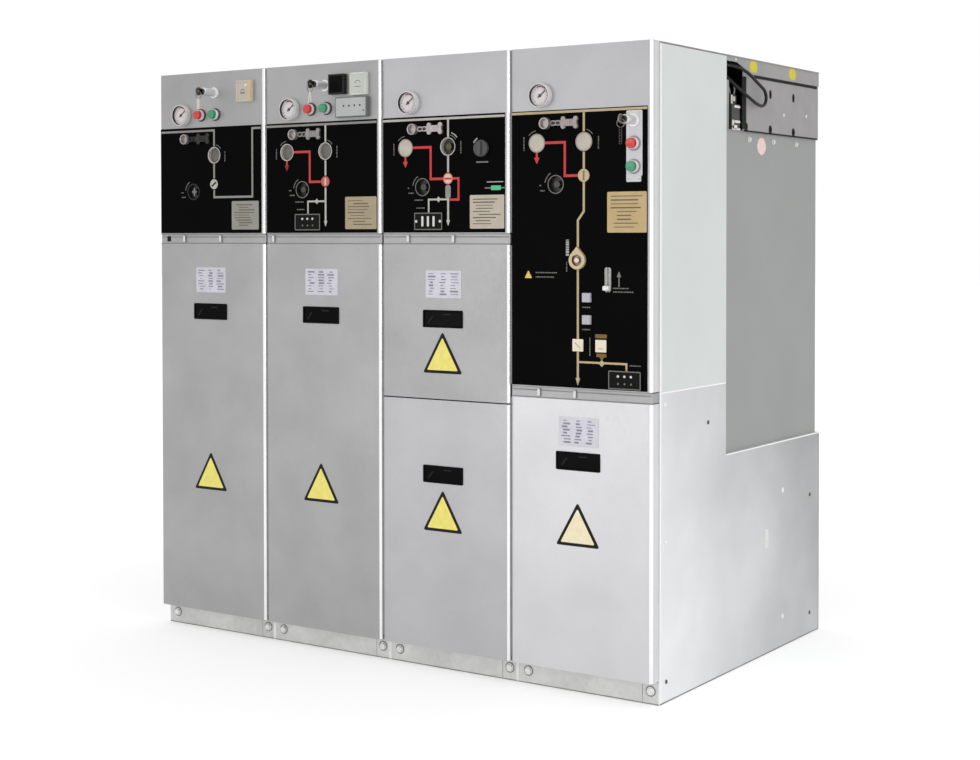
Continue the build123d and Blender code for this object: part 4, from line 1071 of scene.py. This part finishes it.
class SWITCHGEAR_OT_plates(bpy.types.Operator):
    """Bare label plates with plain rules, and plain yellow triangles, one drawn pale cream as a painted sheen."""
    bl_idname = "switchgear.plates"
    bl_label = "Label plates"

    def execute(self, context):
        sizes = context.scene.switchgear_sizes
        thick = sizes.plate_thickness / MM
        rng = np.random.default_rng(7)
        # Column, level, width, height, colour and tint of each instruction plate
        boards = ((308.5, 1099, 93, 74, "#92918B", "grey"), (313, 1102, 98, 80, "#A6987C", "tan"),
                  (312.5, 1101.5, 97, 79, "#B9AFA0", "beige"), (311, 1097.5, 100, 91, "#BDA376", "gold"))
        rules = []
        for n, (a, b, width, height, colour, tint) in enumerate(boards):
            make("instruction_plate_%d" % (n + 1), [on_mimic(n, plate(width, height, 3, thick, 0.3), a, b)],
                 anodised(tint, colour))
            left = a - width / 2 + 9
            for k in range(9):
                level = b + height / 2 - 10 - k * (height - 18) / 8.5
                reach = (width - 18) * rng.uniform(0.55, 1.0)
                start = left + rng.choice([0, 0, 8, 16])
                rule = strip([(start, level), (left + reach, level)], rng.uniform(1.6, 3.2), 0.15)
                rules.append(on_mimic(n, rule, 0, 0, thick))
        make("instruction_rules", rules, ink("rule_brown", "#6F664F"))
        name_plates, name_rules = [], []
        for n, b in ((0, 930), (1, 930), (2, 930), (3, 601)):
            name_plates.append(on_face(n, plate(104, 66, 2, 0.8, 0.25), A_NAME, b))
            for k in range(8):
                level = b + 25 - 7 * k
                for start, span in ((-46, 26), (-12, 22), (18, 28)):
                    near, far = span * rng.uniform(0, 0.3), span * rng.uniform(0.5, 1.0)
                    rule = strip([(A_NAME + start + near, level), (A_NAME + start + far, level)],
                                 rng.choice([1.8, 2.6, 4.2]), 0.12)
                    name_rules.append(on_face(n, rule, 0, 0, 0.8))
        make("name_plates", name_plates, anodised("name", "#CFCDD6"))
        make("name_plate_rules", name_rules, ink("rule_lilac", "#8F8D9B"))
        half = sizes.triangle_side / MM / 2
        rise = half * 2 * 0.87
        yellow, cream, border = [], [], []
        for n, base in ((0, 377), (1, 377), (2, 717), (2, 338), (3, 341)):
            outer = [(A_TRIANGLE - half, base), (A_TRIANGLE + half, base), (A_TRIANGLE, base + rise)]
            inner = [(A_TRIANGLE - half + 12.5, base + 7.2), (A_TRIANGLE + half - 12.5, base + 7.2),
                     (A_TRIANGLE, base + rise - 14.4)]
            border.append(on_face(n, slab(rounded(outer, 3.5, 6), [(0, 0), (0, 0.5), (0.3, 0.8)]), 0, 0))
            # The triangle on the breaker cubicle's cable cover is drawn pale cream: a painted sheen on the same
            # yellow plate.
            (cream if n == 3 else yellow).append(
                on_face(n, slab(rounded(inner, 2.0, 6), [(0, 0.7), (0, 0.95), (0.2, 1.1)]), 0, 0))
        make("triangle_borders", border, ink("border_black", "#100F0C"))
        make("triangles_yellow", yellow, ink("yellow", context.scene.switchgear_colours.triangle))
        make("triangles_painted_sheen", cream, ink("cream", "#FFF0CC"))
        small = slab(rounded([(42, 948), (62, 948), (52, 966)], 1.0, 4), [(0, 0), (0, 0.4), (0.2, 0.6)])
        make("triangle_small", [on_mimic(3, small, 0, 0)], ink("yellow_small", "#EFCB6A"))
        return {"FINISHED"}


class SWITCHGEAR_OT_edges(bpy.types.Operator):
    """Edges of the sheets: painted highlights on the pans' rolled corners, grey fillers that stand for the shade in
    the gaps between them, and painted highlights and shadow lines on the right side and the plinth.
    """
    bl_idname = "switchgear.edges"
    bl_label = "Sheet edges"

    def execute(self, context):
        def trims(*paths):
            """Thin strips on the right side, from pairs of a path and a width."""
            return [seated(strip(path, width, 0.3), (X_END, 0, 0), "right") for path, width in paths]

        covers = ("cable_cover_1", "cable_cover_2", "cable_cover_3_upper", "cable_cover_3_lower", "cable_cover_4")
        bright, returns = [], []
        # Each pan's rolled corner gets a thin near-white shell: a painted highlight.
        for pan in ["upper_front_%d" % n for n in range(1, 5)] + list(covers):
            low, high = (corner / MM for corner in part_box(pan))
            corner = arc(9.2, -72, -8, (high.x - 9, Y_FACE + 9), 10)
            bright.append(seated(strip(corner, 0.3, high.z - low.z - 2), (0, 0, low.z + 1), "top"))
            if pan.endswith("_4"):
                middle = ((Y_FACE + Y_FRAME) / 2 + 4.5, (low.z + high.z) / 2)
                returns.append(seated(plate(Y_FRAME - Y_FACE - 11, high.z - low.z - 2, 0.4, 0.3, 0.1, middle),
                                      (high.x, 0, 0), "right"))
        # Painted highlights and painted shadow lines along the edges of the right side's sheets
        y0, y1, y2 = Y_FRAME + 4, Y_TROUGH - 1.5, Y_REAR - 1.5
        step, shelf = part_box("upper_sides")[0].z / MM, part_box("tank_shelves")[1].z / MM
        bright += trims((((y0, step + 3), (y0, Z_TOP - 6)), 7.6), (((y0, 4), (y0, step - 3)), 6.0),
                        (((Y_FRAME + 1, step - 1.5), (y1, step - 1.5)), 3.0),
                        (((Y_TROUGH + 1, shelf - 1.5), (y2, shelf - 1.5)), 3.0))
        dark = trims((((Y_FRAME + 1, Z_TOP - 2.5), (Y_TROUGH - 1, Z_TOP - 2.5)), 4.0),
                     (((Y_FRAME + 1, 1.8), (y2, 1.8)), 3.0), (((Y_REAR - 2, 4), (Y_REAR - 2, shelf - 4)), 3.0))
        dark += [seated(strip([(-X_END + 2, level), (X_END - 2, level)], 2.4, 0.3), (0, Y_FRAME, 0))
                 for level in (Z_PLINTH - 1.6, 1.6)]
        # Painted highlight: a clear upright glint, drawn as near-white glossy metal on the pans' rolled corners and
        # the side sheets' edges
        make("sheet_edges_painted_highlights", bright, finish(
            "coated_sheet_painted_highlight", "#F2F2F3", metallic=0.9, roughness=0.22, spread=0.04, cloud=60.0, mottle=0.02,
            grain=(0.8, 0.8, 20.0), relief=0.003))
        # The coated sheet's flank, bright in the side light
        make("pan_returns", returns, finish(
            "coated_sheet_flank", "#DADADB", metallic=0.6, roughness=0.42, cloud=150.0, mottle=0.04,
            grain=UPRIGHT_GRAIN))
        # Painted shadow lines: dark strips under the right side's top, along its foot and back edge, and along the
        # plinth's top and foot.
        make("sheet_edges_painted_shadows", dark, zinc("edge", "#8C8A88", cloud=40.0, mottle=0.25))
        # Grey fillers in the gaps between the pans: painted shade.
        gap_shade_fillers = []
        for n, spans in ((1, ((66, 1023), (1053, Z_TOP - 1))), (2, ((66, 1023), (1053, Z_TOP - 1))),
                         (3, ((66, 670), (701, 1023), (1053, Z_TOP - 1)))):
            outline = box_outline(4.4, 3, 0.5, (LEFTS[n], Y_FACE + 6.5))
            gap_shade_fillers += [seated(slab(outline, [(0, low), (0, high)]), (0, 0, 0), "top") for low, high in spans]
        # Grey fillers in the seams over and under the rails: painted shade
        seam = (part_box("upper_front_1")[0].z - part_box("interlock_rails")[1].z) / MM
        for n, cover in enumerate(("cable_cover_1", "cable_cover_2", "cable_cover_3_upper", "cable_cover_4")):
            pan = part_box("upper_front_%d" % (n + 1))
            for level in (pan[0].z / MM - seam / 2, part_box(cover)[1].z / MM + seam / 2):
                bar = plate(PITCH - 4.4, seam * 1.1, seam * 0.2, 1.6, 0.2, (LEFTS[n] + PITCH / 2, level))
                gap_shade_fillers.append(seated(bar, (0, Y_RAIL, 0)))
        make("pan_gap_shade_fillers", gap_shade_fillers, rubber("gap_shade_filler", "#8C8B8B", cloud=30.0, mottle=0.08))
        return {"FINISHED"}


class SWITCHGEAR_OT_windows(bpy.types.Operator):
    """Viewing windows: dark frames round glossy panes, with a dim phase bar behind."""
    bl_idname = "switchgear.windows"
    bl_label = "Viewing windows"

    def execute(self, context):
        # Cubicle of each window, and how far its middle lies under its cover's top edge
        drops = (("cable_cover_1", 0, 178), ("cable_cover_2", 1, 178), ("cable_cover_3_upper", 2, 178),
                 ("cable_cover_3_lower", 2, 178), ("cable_cover_4", 3, 139))
        levels = [(n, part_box(node)[1].z / MM - drop) for node, n, drop in drops]
        ring = slab(box_outline(116, 42, 3), [(0, 0), (0, 1.8), (0.6, 2.5), (3.4, 2.5), (4.2, 1.6), (4.2, -2),
                                              (4.4, -2), (0, 0)], closed=False)
        make("window_frames", [on_face(n, ring, A_WINDOW, b) for n, b in levels],
             rubber("window", "#0A0A0A", mottle=0.15, specular=0.06),
             replaces=("viewing_windows",))
        # Smoked glass: nearly black, with a weak clear mirror
        make("window_panes", [on_face(n, plate(107.4, 33.4, 1, 1.0, 0.3), A_WINDOW, b, -1.0) for n, b in levels],
             finish("glass_smoked", "#030303", roughness=0.12, spread=0.03, cloud=60.0, mottle=0.3,
                    specular=0.05))
        bars = [on_face(n, strip(path, 2.4, 0.1), A_WINDOW, b) for n, b in levels
                for path in ([(-44, -11), (-36, -1), (-30, 6)], [(2, 11), (24, 11)])]
        # Dim lines that show through the glass
        make("window_marks", bars, finish(
            "ink_under_glass", "#2A2A2A", roughness=0.4, cloud=8.0, mottle=0.2, specular=0.1))
        return {"FINISHED"}


class SWITCHGEAR_OT_fasteners(bpy.types.Operator):
    """Bolts, screws, rivets, joint strips and tab caps all round the row, with painted highlights on the plinth's
    joints and the side plate, and painted shadow lines along the rails.
    """
    bl_idname = "switchgear.fasteners"
    bl_label = "Fasteners"

    def execute(self, context):
        places = [(x + a, Y_FRAME, 30) for x in LEFTS for a in (30, 353)]
        washer = turned([(9, 0), (12.5, 0), (12.5, 0.5), (12, 0.7), (9, 0.7), (9, 0)], 32)
        joints = [plate(width, Z_PLINTH - 4, 1.0, 0.8, 0.3, (LEFTS[n], Z_PLINTH / 2))
                  for n, width in ((1, 10), (2, 9), (3, 7))]
        make("plinth_bolts", [seated(hex_bolt(15, 6, 10), place) for place in places],
             zinc("bolt", "#ECECEA", 0.5, 0.3, 5.0))
        make("plinth_washers", [seated(washer, place) for place in places],
             zinc("washer", "#7C7A78", mottle=0.15))
        # White strips at the plinths' joints: painted highlights on the joint edges.
        make("plinth_joints_painted_highlight", [seated(joint, (0, Y_FRAME, 0)) for joint in joints],
             zinc("joint", "#EDEFEF", 0.4, 0.35, 20.0))
        # Depth behind the frame's front and height of the side plate's dark and bright screws
        side = ((238, 610), (32, 47), (830, 366), (830, 55))
        white = ((25, 668), (30, 360), (658, 399), (658, 77))
        pan, wide, flush = screw_head(5.0, 1.8), screw_head(7.0, 2.0), flush_head()
        make("side_screws", [seated(pan, (X_END, Y_FRAME + y, z), "right") for y, z in side],
             plated("screw", "#5A5958", 0.4))
        sunk = [seated(flush, (-X_END, Y_FRAME + y, z), "left") for y, z in side + white]
        sunk += [seated(flush, (x + a, Y_REAR, z), "back") for x in LEFTS for a in (24, PITCH - 24)
                 for z in (80, 290, 500)]
        make("sunk_screws", sunk, plated("screw_sunk", "#7F7F7D", 0.35))
        make("side_screws_bright",
             [seated(pan if y < 100 else wide, (X_END, Y_FRAME + y, z), "right") for y, z in white],
             zinc("screw", "#F2F4F4", 0.2, 0.3, 5.0))
        # A pale patch on the right side plate: a painted highlight.
        make("side_painted_highlight", [seated(plate(21, 48, 3, 0.4, 0.15, (Y_FRAME + 562, 289)), (X_END, 0, 0), "right")],
             zinc("mark", "#E2E3E0", 0.3, 0.4, 8.0, 0.08))
        # Tabs as shares of the pitch, and a painted shadow line along each rail
        tabs = ((0.237, 0.581), (0.069,), (0.213, 0.568), (0.208, 0.464))
        caps, painted_shadows = [], []
        for left, level, shares in zip(LEFTS, Z_RAILS, tabs):
            caps += [seated(plate(6.6, 15, 1.2, 0.6, 0.25), (left + share * PITCH, Y_TAB, level)) for share in shares]
            path = [(left + 6, level + 4.8), (left + PITCH - 6, level + 4.8)]
            painted_shadows.append(seated(strip(path, 3.2, 0.25), (0, Y_RAIL, 0)))
        make("rail_tab_caps", caps, moulded("tab_cap", "#E6E6E4", 0.35))
        make("rail_painted_shadows", painted_shadows, zinc("painted_shadow", "#8A898A", 0.5, cloud=40.0, mottle=0.12))
        make("rail_plug", [seated(plate(13, 14, 2, 0.8, 0.3), (LEFTS[0] + 30, Y_RAIL, Z_RAILS[0]))],
             moulded("rail_plug", "#141313", 0.5, specular=0.15))
        return {"FINISHED"}


class SWITCHGEAR_OT_rear(bpy.types.Operator):
    """Weld beads between the tanks and screws of the trough and the roof."""
    bl_idname = "switchgear.rear"
    bl_label = "Rear and roof"

    def execute(self, context):
        low, high = (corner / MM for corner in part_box("gas_tanks"))
        corner = 26
        weld = bead(high.z - low.z - 2 * corner, 5.0, 9.0)  # ripples of 9 mm, coarser than a real bead's 3 mm
        # Paint over a weld: the tank's grey, a little darker and livelier
        make("tank_welds", [seated(weld, (x, high.y, low.z + corner), "back") for x in LEFTS[1:]], finish(
            "weld_paint_grey", "#8E918F", roughness=0.45, cloud=15.0, mottle=0.08, relief=0.05))
        back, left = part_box("wiring_trough")[1].y / MM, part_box("trough_ends")[0].x / MM
        head, flush = screw_head(5.0, 1.8), flush_head()
        screws = [seated(head, (x + a, back, z), "back") for x in LEFTS for a in (30, PITCH / 2, PITCH - 30)
                  for z in (Z_TROUGH + 14, Z_TOP - 14)]
        screws += [seated(head, (left, Y_TROUGH + b, Z_TROUGH + 16), "left") for b in (30, 180, 330, 480)]
        make("trough_screws", screws, plated("trough_screw", "#A9A9A7", 0.35))
        roof = [seated(flush, (x + a, Y_FRAME + b, Z_TOP), "top") for x in LEFTS for a in (20, PITCH - 20)
                for b in (30, Y_TROUGH - Y_FRAME - 24)]
        make("roof_screws", roof, plated("roof_screw", "#8A8A88", 0.35))
        return {"FINISHED"}


class SWITCHGEAR_OT_trough(bpy.types.Operator):
    """Wiring trough's end: terminals in the mouth, leads, clips, stickers, fasteners, and painted shade round the end
    plate.
    """
    bl_idname = "switchgear.trough"
    bl_label = "Trough end"

    def execute(self, context):
        lo, hi = (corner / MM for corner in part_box("terminal_block"))
        y0, z0 = lo.y, lo.z
        across, deep = hi.x - lo.x, hi.y - y0
        middle = ((lo.x + hi.x) / 2, (y0 + hi.y) / 2)
        body = slab(box_outline(across, deep, 2, middle), [(0, z0), (0, z0 + 60), (1, z0 + 62)])
        tier = slab(box_outline(across - 12, deep - 12, 2, middle), [(0, z0 + 62), (0, z0 + 84), (1, z0 + 86)])
        make("terminal_body", [seated(join(body, tier), (0, 0, 0), "top")], moulded("terminal", "#1E1C1D", 0.4),
             replaces=("terminal_block",))
        # Width, height, radius, thickness and place of each clip, the last two on the upper tier
        clips = ((30, 6, 2, 1.2, 0, middle[1] + 6, 20), (30, 6, 2, 1.2, 0, middle[1] + 6, 56),
                 (26, 9, 3, 1.4, 0, y0 + 15, 7), (8, 22, 3, 1.4, 0, y0 + 6, 13),
                 (44, 4, 1.5, 1.4, 0, middle[1], 2.5), (7, 22, 2, 1.4, -6, y0 + 11, 73),
                 (10, 12, 2, 1.4, -6, y0 + 24, 75))
        make("terminal_clips", [seated(plate(width, height, radius, thick, 0.4), (hi.x + x, y, z0 + z), "right")
                                for width, height, radius, thick, x, y, z in clips],
             zinc("clip", "#E6DEDC", 0.4, 0.35))
        wall = Y_TROUGH + 2
        leads = (((722, wall, 1440), (728, -38, 1424), (734, -20, 1404), (734, -10, 1390), (732, -4, 1383)),
                 ((714, wall, 1444), (724, -32, 1432), (735, -2, 1414), (737, 10, 1398), (733, 12, 1383)))
        make("terminal_leads", [tube(bent(lead), 1.8) for lead in leads], moulded("lead", "#8C8C8A", 0.4, coat=0.3))
        cheek = slab(box_outline(35, 119, 2, (Y_TROUGH + 20, Z_TROUGH + 61)), [(0, 0), (0, 1.6), (0.4, 2)])
        make("mouth_cheek", [seated(cheek, (hi.x - 8, 0, 0), "right")], trough_paint())
        sticker = slab(box_outline(42, 28, 12), [(0, 0), (0, 0.2), (0.2, 0.35)])
        make("stickers_yellow", [seated(sticker, (X_LIP, Y_FRAME + y, 1457), "right") for y in (484, 716)],
             ink("sticker_yellow", "#DDD03C"))
        turn = np.linspace(0, 2 * np.pi, 40, endpoint=False)
        oval = np.stack([27 * np.cos(turn), 23 * np.sin(turn)], -1)
        place = (X_TANK, Y_FRAME + 546, 1266)
        make("sticker_pale", [seated(slab(oval, [(0, 0), (0, 0.2), (0.2, 0.3)]), place, "right")],
             ink("sticker_pale", "#F0DCD7"))
        make("sticker_rim", [seated(rim(oval, 2.4, 0.5, 0.1), place, "right")], ink("sticker_rim", "#DBA49E"))
        nuts = [seated(hex_bolt(10, 5, 7), (X_TANK, Y_FRAME + y, 1280), "right") for y in (475, 615, 755)]
        nuts += [seated(screw_head(4.4, 1.6), (X_TROUGH_END, Y_FRAME + y, z), "right")
                 for y, z in ((668, 1350), (808, 1355))]
        nuts.append(seated(screw_head(3.6, 1.2), (X_LIP, -6, 1467), "right"))
        make("tank_nuts", nuts, zinc("nut", "#E4E4E2", 0.4, 0.3, 5.0))
        # Painted shade in black: rounds that widen the dark of the hanging holes, strips on the end plate's edges,
        # and a sheet behind it
        eye, wide_eye = (bored(box_outline(width, 22, radius), 4.2, 0.5, 0.15, 2.2)
                         for width, radius in ((13, 6.2), (18, 8.8)))
        painted_shade_pieces = [moved(eye if z > 1350 else wide_eye, Y_FRAME + y, z)
                 for y, z in ((447, 1309), (587, 1309), (727, 1309), (587, 1397), (727, 1397))]
        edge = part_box("trough_ends")[0].z / MM
        painted_shade_pieces += [strip([(Y_TROUGH + 104.5, edge + 6), (Y_TROUGH + 104.5, 1430)], 20.0, 1.2),
                  strip([(Y_TROUGH + 160, 1434), (Y_REAR - 14, 1434)], 7.0, 1.4),
                  strip([(Y_TROUGH + 101, Z_TROUGH + 2.2), (Y_REAR - 10, Z_TROUGH + 2.2)], 4.0, 0.5),
                  moved(plate(440, 124, 3, 1.0, 0.3, ((Y_TROUGH + 100 + Y_REAR) / 2, Z_TROUGH + 70)), 0, 0, -3.1)]
        make("plate_painted_shade_pieces", [seated(painted_shade_piece, (X_TROUGH_END, 0, 0), "right") for painted_shade_piece in painted_shade_pieces],
             rubber("painted_shade_piece", "#151314", 0.7, 10.0, specular=0.2))
        return {"FINISHED"}


class SWITCHGEAR_OT_cable(bpy.types.Operator):
    """Control cable: a smooth loop through its route's control points, with its grommets."""
    bl_idname = "switchgear.cable"
    bl_label = "Control cable"

    def execute(self, context):
        diameter = context.scene.switchgear_sizes.cable_diameter
        origin = np.array([X_END, Y_TROUGH + 10, Z_TOP]) * MM
        route = origin + np.array(CABLE_PLACES, float) * MM
        curve = bpy.data.curves.new("control_cable_loop", "CURVE")
        curve.dimensions = "3D"
        curve.bevel_depth = diameter / 2
        curve.bevel_resolution = 5
        curve.use_fill_caps = True
        spline = curve.splines.new("NURBS")
        spline.points.add(len(route) - 1)
        spline.points.foreach_set("co", np.concatenate([route, np.ones((len(route), 1))], 1).ravel())
        spline.order_u = 3
        spline.use_endpoint_u = True
        spline.resolution_u = 10
        # Black PVC sheath: a dull gloss with a fine extruded grain
        curve.materials.append(finish("pvc_black", "#0B0B0C", roughness=0.45, cloud=20.0, mottle=0.1,
                                      grain=(0.8, 0.8, 0.8), relief=0.01, specular=0.3))
        cable = bpy.data.objects.new("control_cable_loop", curve)
        context.scene.collection.objects.link(cable)
        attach(cable, "housing")
        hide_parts("control_cable")
        bush = turned([(0, 0), (8, 0), (8, 1.4), (7.4, 2.4), (6.4, 3.4), (5.4, 8), (4.6, 8), (4.4, 7.4),
                       (0, 7.4)], 32)
        ends = route[[0, -1]] / MM
        make("cable_bushes", [seated(bush, (end[0], Y_TROUGH + 2, end[2]), "back") for end in ends],
             moulded("bush", "#1A1A1A", 0.5), replaces=("cable_grommets",))
        return {"FINISHED"}


class SWITCHGEAR_OT_stage(bpy.types.Operator):
    """Pale floor, soft studio light and the camera."""
    bl_idname = "switchgear.stage"
    bl_label = "Stage"

    def execute(self, context):
        self.lay_floor(context.scene)
        self.light(context.scene)
        self.aim_camera(context.scene)
        context.scene.view_settings.view_transform = "Standard"
        return {"FINISHED"}

    def lay_floor(self, scene):
        """Flat floor of 60 m that turns to the backdrop's white away from the row and keeps its shadow near it."""
        span = np.linspace(-30, 30, 3)
        a, b = np.meshgrid(span, span, indexing="ij")
        points = np.stack([a, b, np.full_like(a, -0.0005)], -1).reshape(-1, 3)
        mesh = bpy.data.meshes.new("floor")
        mesh.from_pydata(points.tolist(), [], quads_of(3, 3, False)[:, ::-1].tolist())
        material = bpy.data.materials.new("floor_pale")
        material.use_nodes = True
        tree = material.node_tree
        tree.nodes.clear()
        place = add(tree, "ShaderNodeTexCoord").outputs["Object"]
        away = add(tree, "ShaderNodeVectorMath", {0: place}, operation="LENGTH").outputs["Value"]
        glow = add(tree, "ShaderNodeMapRange", {"Value": away, "From Min": 1.0, "From Max": 4.0, "To Min": 0.36,
                                                "To Max": 0.45})
        lift = add(tree, "ShaderNodeMath", {0: self.seen_rays(tree), 1: glow.outputs["Result"]}, operation="MULTIPLY")
        matt = add(tree, "ShaderNodeBsdfDiffuse", {"Color": (0.8, 0.8, 0.8, 1)})
        shine = add(tree, "ShaderNodeEmission", {"Color": (1, 1, 1, 1), "Strength": lift.outputs[0]})
        both = add(tree, "ShaderNodeAddShader", {0: matt.outputs[0], 1: shine.outputs[0]})
        add(tree, "ShaderNodeOutputMaterial", {"Surface": both.outputs[0]})
        mesh.materials.append(material)
        floor = bpy.data.objects.new("floor", mesh)
        scene.collection.objects.link(floor)

    def light(self, scene):
        """White surroundings, and three soft lamps that the camera doesn't see."""
        world = bpy.data.worlds.new("studio")
        scene.world = world
        world.use_nodes = True
        tree = world.node_tree
        tree.nodes.clear()
        level = add(tree, "ShaderNodeMapRange", {"Value": self.seen_rays(tree), "To Min": 0.8, "To Max": 1.0})
        sky = add(tree, "ShaderNodeBackground", {"Color": (1, 1, 1, 1), "Strength": level.outputs["Result"]})
        add(tree, "ShaderNodeOutputWorld", {"Surface": sky.outputs[0]})
        stage = scene.switchgear_stage
        for name, place, aim, size, power in (
                ("key", (2.7, -1.7, 1.2), (0.75, -0.1, 0.7), 1.4, stage.key_power),
                ("front", (-1.4, -4.3, 0.7), (0.3, -0.4, 0.5), 2.2, stage.front_power),
                ("top", (0.6, -0.6, 4.2), (0.0, -0.2, 0.0), 3.4, stage.top_power)):
            lamp = bpy.data.lights.new(name, "AREA")
            lamp.shape = "RECTANGLE"
            lamp.size = size
            lamp.size_y = size * 0.8
            lamp.energy = power
            holder = bpy.data.objects.new(name, lamp)
            holder.location = place
            way = np.array(aim) - np.array(place)
            holder.rotation_euler = Euler((math.acos(-way[2] / np.linalg.norm(way)), 0,
                                           math.atan2(way[1], way[0]) - math.pi / 2))
            holder.visible_camera = False
            scene.collection.objects.link(holder)

    @staticmethod
    def aim_camera(scene):
        """The camera at the picture's viewing angle."""
        lens = bpy.data.cameras.new("photo_camera")
        lens.sensor_width = 36.0
        lens.lens = scene.switchgear_stage.lens
        lens.shift_y = -CAMERA_DROP / IMAGE_WIDTH
        camera = bpy.data.objects.new("photo_camera", lens)
        camera.location = CAMERA_PLACE
        camera.rotation_euler = Euler([math.radians(turn) for turn in CAMERA_TURN])
        scene.collection.objects.link(camera)
        scene.camera = camera

    @staticmethod
    def seen_rays(tree):
        """1 for the rays that show the backdrop (camera, mirror and glass), 0 for those that only light."""
        path = add(tree, "ShaderNodeLightPath")
        mirror = add(tree, "ShaderNodeMath", {0: path.outputs["Is Camera Ray"], 1: path.outputs["Is Glossy Ray"]},
                     operation="MAXIMUM")
        glass = add(tree, "ShaderNodeMath", {0: mirror.outputs[0], 1: path.outputs["Is Transmission Ray"]},
                    operation="MAXIMUM")
        return glass.outputs[0]


class SWITCHGEAR_PT_panel(bpy.types.Panel):
    """Lists the steps that dress the row."""
    bl_idname = "SWITCHGEAR_PT_panel"
    bl_label = "Switchgear row"
    bl_space_type = "VIEW_3D"
    bl_region_type = "UI"
    bl_category = "Switchgear"

    def draw(self, context):
        for operator in OPERATORS:
            self.layout.operator(operator.bl_idname)
        for group in (getattr(context.scene, name) for name in GROUPS):
            for name in group.__annotations__:
                self.layout.prop(group, name)


GROUPS = {"switchgear_sizes": SwitchgearSizes, "switchgear_colours": SwitchgearColours,
          "switchgear_stage": SwitchgearStage}
OPERATORS = (
    SWITCHGEAR_OT_stage, SWITCHGEAR_OT_cable, SWITCHGEAR_OT_sheets, SWITCHGEAR_OT_edges, SWITCHGEAR_OT_diagram,
    SWITCHGEAR_OT_positions, SWITCHGEAR_OT_sockets, SWITCHGEAR_OT_locks, SWITCHGEAR_OT_gauges, SWITCHGEAR_OT_buttons,
    SWITCHGEAR_OT_keys, SWITCHGEAR_OT_meters, SWITCHGEAR_OT_voltage, SWITCHGEAR_OT_knob, SWITCHGEAR_OT_breaker,
    SWITCHGEAR_OT_plates, SWITCHGEAR_OT_windows, SWITCHGEAR_OT_fasteners, SWITCHGEAR_OT_rear, SWITCHGEAR_OT_trough,
)


def register():
    """Adds the classes and the scene's properties."""
    for group in GROUPS.values():
        bpy.utils.register_class(group)
    for name, group in GROUPS.items():
        setattr(bpy.types.Scene, name, PointerProperty(type=group))
    for operator in OPERATORS:
        bpy.utils.register_class(operator)
    bpy.utils.register_class(SWITCHGEAR_PT_panel)


def unregister():
    """Takes them out again."""
    bpy.utils.unregister_class(SWITCHGEAR_PT_panel)
    for operator in reversed(OPERATORS):
        bpy.utils.unregister_class(operator)
    for name, group in GROUPS.items():
        delattr(bpy.types.Scene, name)
        bpy.utils.unregister_class(group)


def main():
    """Registers the add-on and dresses the row step by step."""
    register()
    for operator in OPERATORS:
        family, step = operator.bl_idname.split(".")
        getattr(getattr(bpy.ops, family), step)()


if __name__ == "__main__":
    main()
